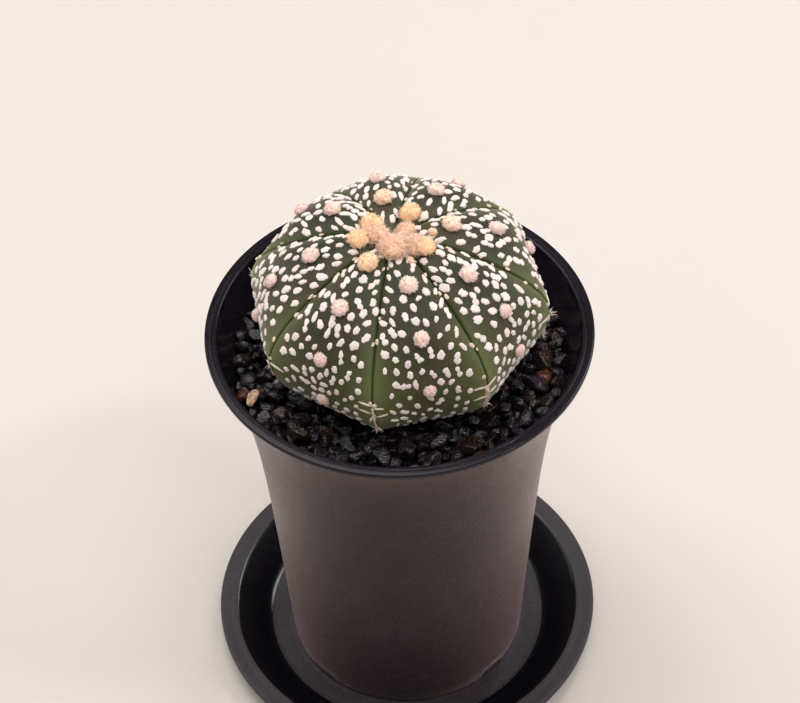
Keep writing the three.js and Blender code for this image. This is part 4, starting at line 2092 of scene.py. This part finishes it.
@dataclass
class Studio:
    """The pale floor, the soft lights and the camera."""

    rim: float
    distance: float = 594.8 * MM
    elevation: float = 45.9
    tilt: float = -0.6
    roll: float = 1.6
    lens: float = 104.46
    sensor: float = 36.0
    lights: tuple[Softbox, ...] = (
        Softbox("overhead", (-0.25, 0.3, 1.5), (1.2, 1.2), 17.5, (1.0, 0.99, 0.96)),
        Softbox("left_panel", (-1.2, 0.5, 0.75), (1.1, 1.1), 7.4, (1.0, 0.98, 0.93)),
        Softbox("right_panel", (1.2, 0.4, 0.75), (1.1, 1.1), 7.0, (1.0, 0.965, 0.95)),
        Softbox("high_front", (0.2, -0.7, 1.5), (0.9, 0.6), 8.0, (1.0, 0.985, 0.97)),
        Softbox("right_key", (0.75, -0.25, 1.1), (0.16, 0.16), 3.4, (1.0, 0.98, 0.95)),
        Softbox("glint", (0.5, 0.75, 1.1), (0.25, 0.25), 3.0, (1.0, 1.0, 1.0)),
    )
    air: Colour = (0.95, 0.93, 0.92)
    air_strength: float = 0.12
    flat_rings: tuple[float, ...] = (0.3, 0.8, 1.4)
    bend_start: float = 2.0
    bend_radius: float = 0.7
    wall_top: float = 1.0

    def camera(self) -> bpy.types.Object:
        """Places the camera in front of the pot, looking down on the rim.

        Returns:
            The camera.
        """
        rise = math.radians(self.elevation)
        aim = Vector((0, 0, self.rim))
        eye = aim + Vector((0, -math.cos(rise), math.sin(rise))) * self.distance
        look = (aim - eye).normalized()
        right = Vector((1, 0, 0))
        look = Matrix.Rotation(math.radians(self.tilt), 3, right) @ look
        up = right.cross(look)
        lean = Matrix.Rotation(math.radians(self.roll), 3, look)
        right = lean @ right
        up = lean @ up
        data = bpy.data.cameras.new("camera")
        data.lens = self.lens
        data.sensor_width = self.sensor
        data.clip_start = 0.01
        data.dof.use_dof = False
        view = bpy.data.objects.new("camera", data)
        axes = Matrix((right, up, -look)).transposed()
        view.matrix_world = Matrix.Translation(eye) @ axes.to_4x4()
        bpy.context.scene.collection.objects.link(view)
        bpy.context.scene.camera = view
        return view

    def air_light(self) -> None:
        """Lights everything faintly from all round."""
        world = bpy.data.worlds.new("studio_air")
        world.use_nodes = True
        node = world.node_tree.nodes["Background"]
        node.inputs["Color"].default_value = (*self.air, 1.0)
        node.inputs["Strength"].default_value = self.air_strength
        bpy.context.scene.world = world

    def floor(self) -> bpy.types.Object:
        """Lays the pale round floor, which sweeps up to a low wall far all round.

        Returns:
            The floor.
        """
        around = 96
        bend = np.linspace(0, math.pi / 2, 13)
        curve = self.bend_start + self.bend_radius * np.sin(bend)
        climb = self.bend_radius * (1 - np.cos(bend))
        reach = np.concatenate([self.flat_rings, curve, [self.bend_start + self.bend_radius]])
        rise = np.concatenate([np.zeros(len(self.flat_rings)), climb, [self.wall_top]])
        turns = np.linspace(0, 2 * math.pi, around, endpoint=False)
        x = reach[:, None] * np.sin(turns)
        y = -reach[:, None] * np.cos(turns)
        z = np.broadcast_to(rise[:, None], x.shape)
        rings = np.stack([x, y, z], axis=-1).reshape(-1, 3)
        points = np.concatenate([rings, np.zeros((1, 3))])
        fan = cap_faces(len(rings), 0, around, True)
        piece = mesh_object("floor", points, [ring_faces(len(reach), around), fan])
        dress(piece, SweepPaper().material())
        return piece

    def make(self) -> None:
        """Sets up the whole studio."""
        self.camera()
        self.floor()
        for light in self.lights:
            light.hang(Vector((0, 0, self.rim)))
        self.air_light()
        bpy.context.scene.view_settings.view_transform = "Standard"


# ------------------------------------------------------------------ assembly


def main() -> None:
    """Builds the studio and every piece of the potted plant."""
    logging.basicConfig(level=logging.INFO, format="%(message)s")
    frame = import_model()
    pot = Pot()
    rim = pot.top
    Studio(rim).make()
    LOG.info("saucer: %s", Saucer().make().name)
    LOG.info("pot: %s", pot.make().name)
    stem = Stem(rim)
    LOG.info("stem: %s", stem.make().name)
    lava = LavaStone().material()
    gravel = Gravel(rim, stem, pot)
    loose = sorted(name for name in frame["nodes"] if name.startswith("loose_stone"))
    gravel.make(loose, lava)
    LOG.info("gravel: %s", gravel.make_grit(lava).name)
    wool = WoolWork(stem)
    felt = Wool("felted_flecks", grain=2600, depth=0.08 * MM, shade=(0.9, 0.84, 0.8)).material()
    fleece = Wool("wool_tufts", grain=2100, depth=0.2 * MM, shade=(0.92, 0.78, 0.68)).material()
    for rib in range(stem.ribs):
        spots = wool.areoles_of(rib)
        flecks = Flecks(stem, rib, [*spots, (0.0, CROWN_CLEAR)])
        LOG.info("flecks: %s", flecks.make(felt).name)
        for index in range(len(spots)):
            wool.make_areole(rib, index, fleece)
    LOG.info("crown: %s", wool.make_crown(fleece).name)
    LOG.info("dry tufts: %s", wool.make_dry_tufts(fleece).name)
    mix = Mottled(
        "potting_mix", first=(0.03, 0.02, 0.013), second=(0.07, 0.05, 0.035), scale=900,
        smoothest=0.82, roughest=0.95, depth=0.6 * MM)
    dress(frame["nodes"]["potting_mix"], mix.material())


if __name__ == "__main__":
    main()
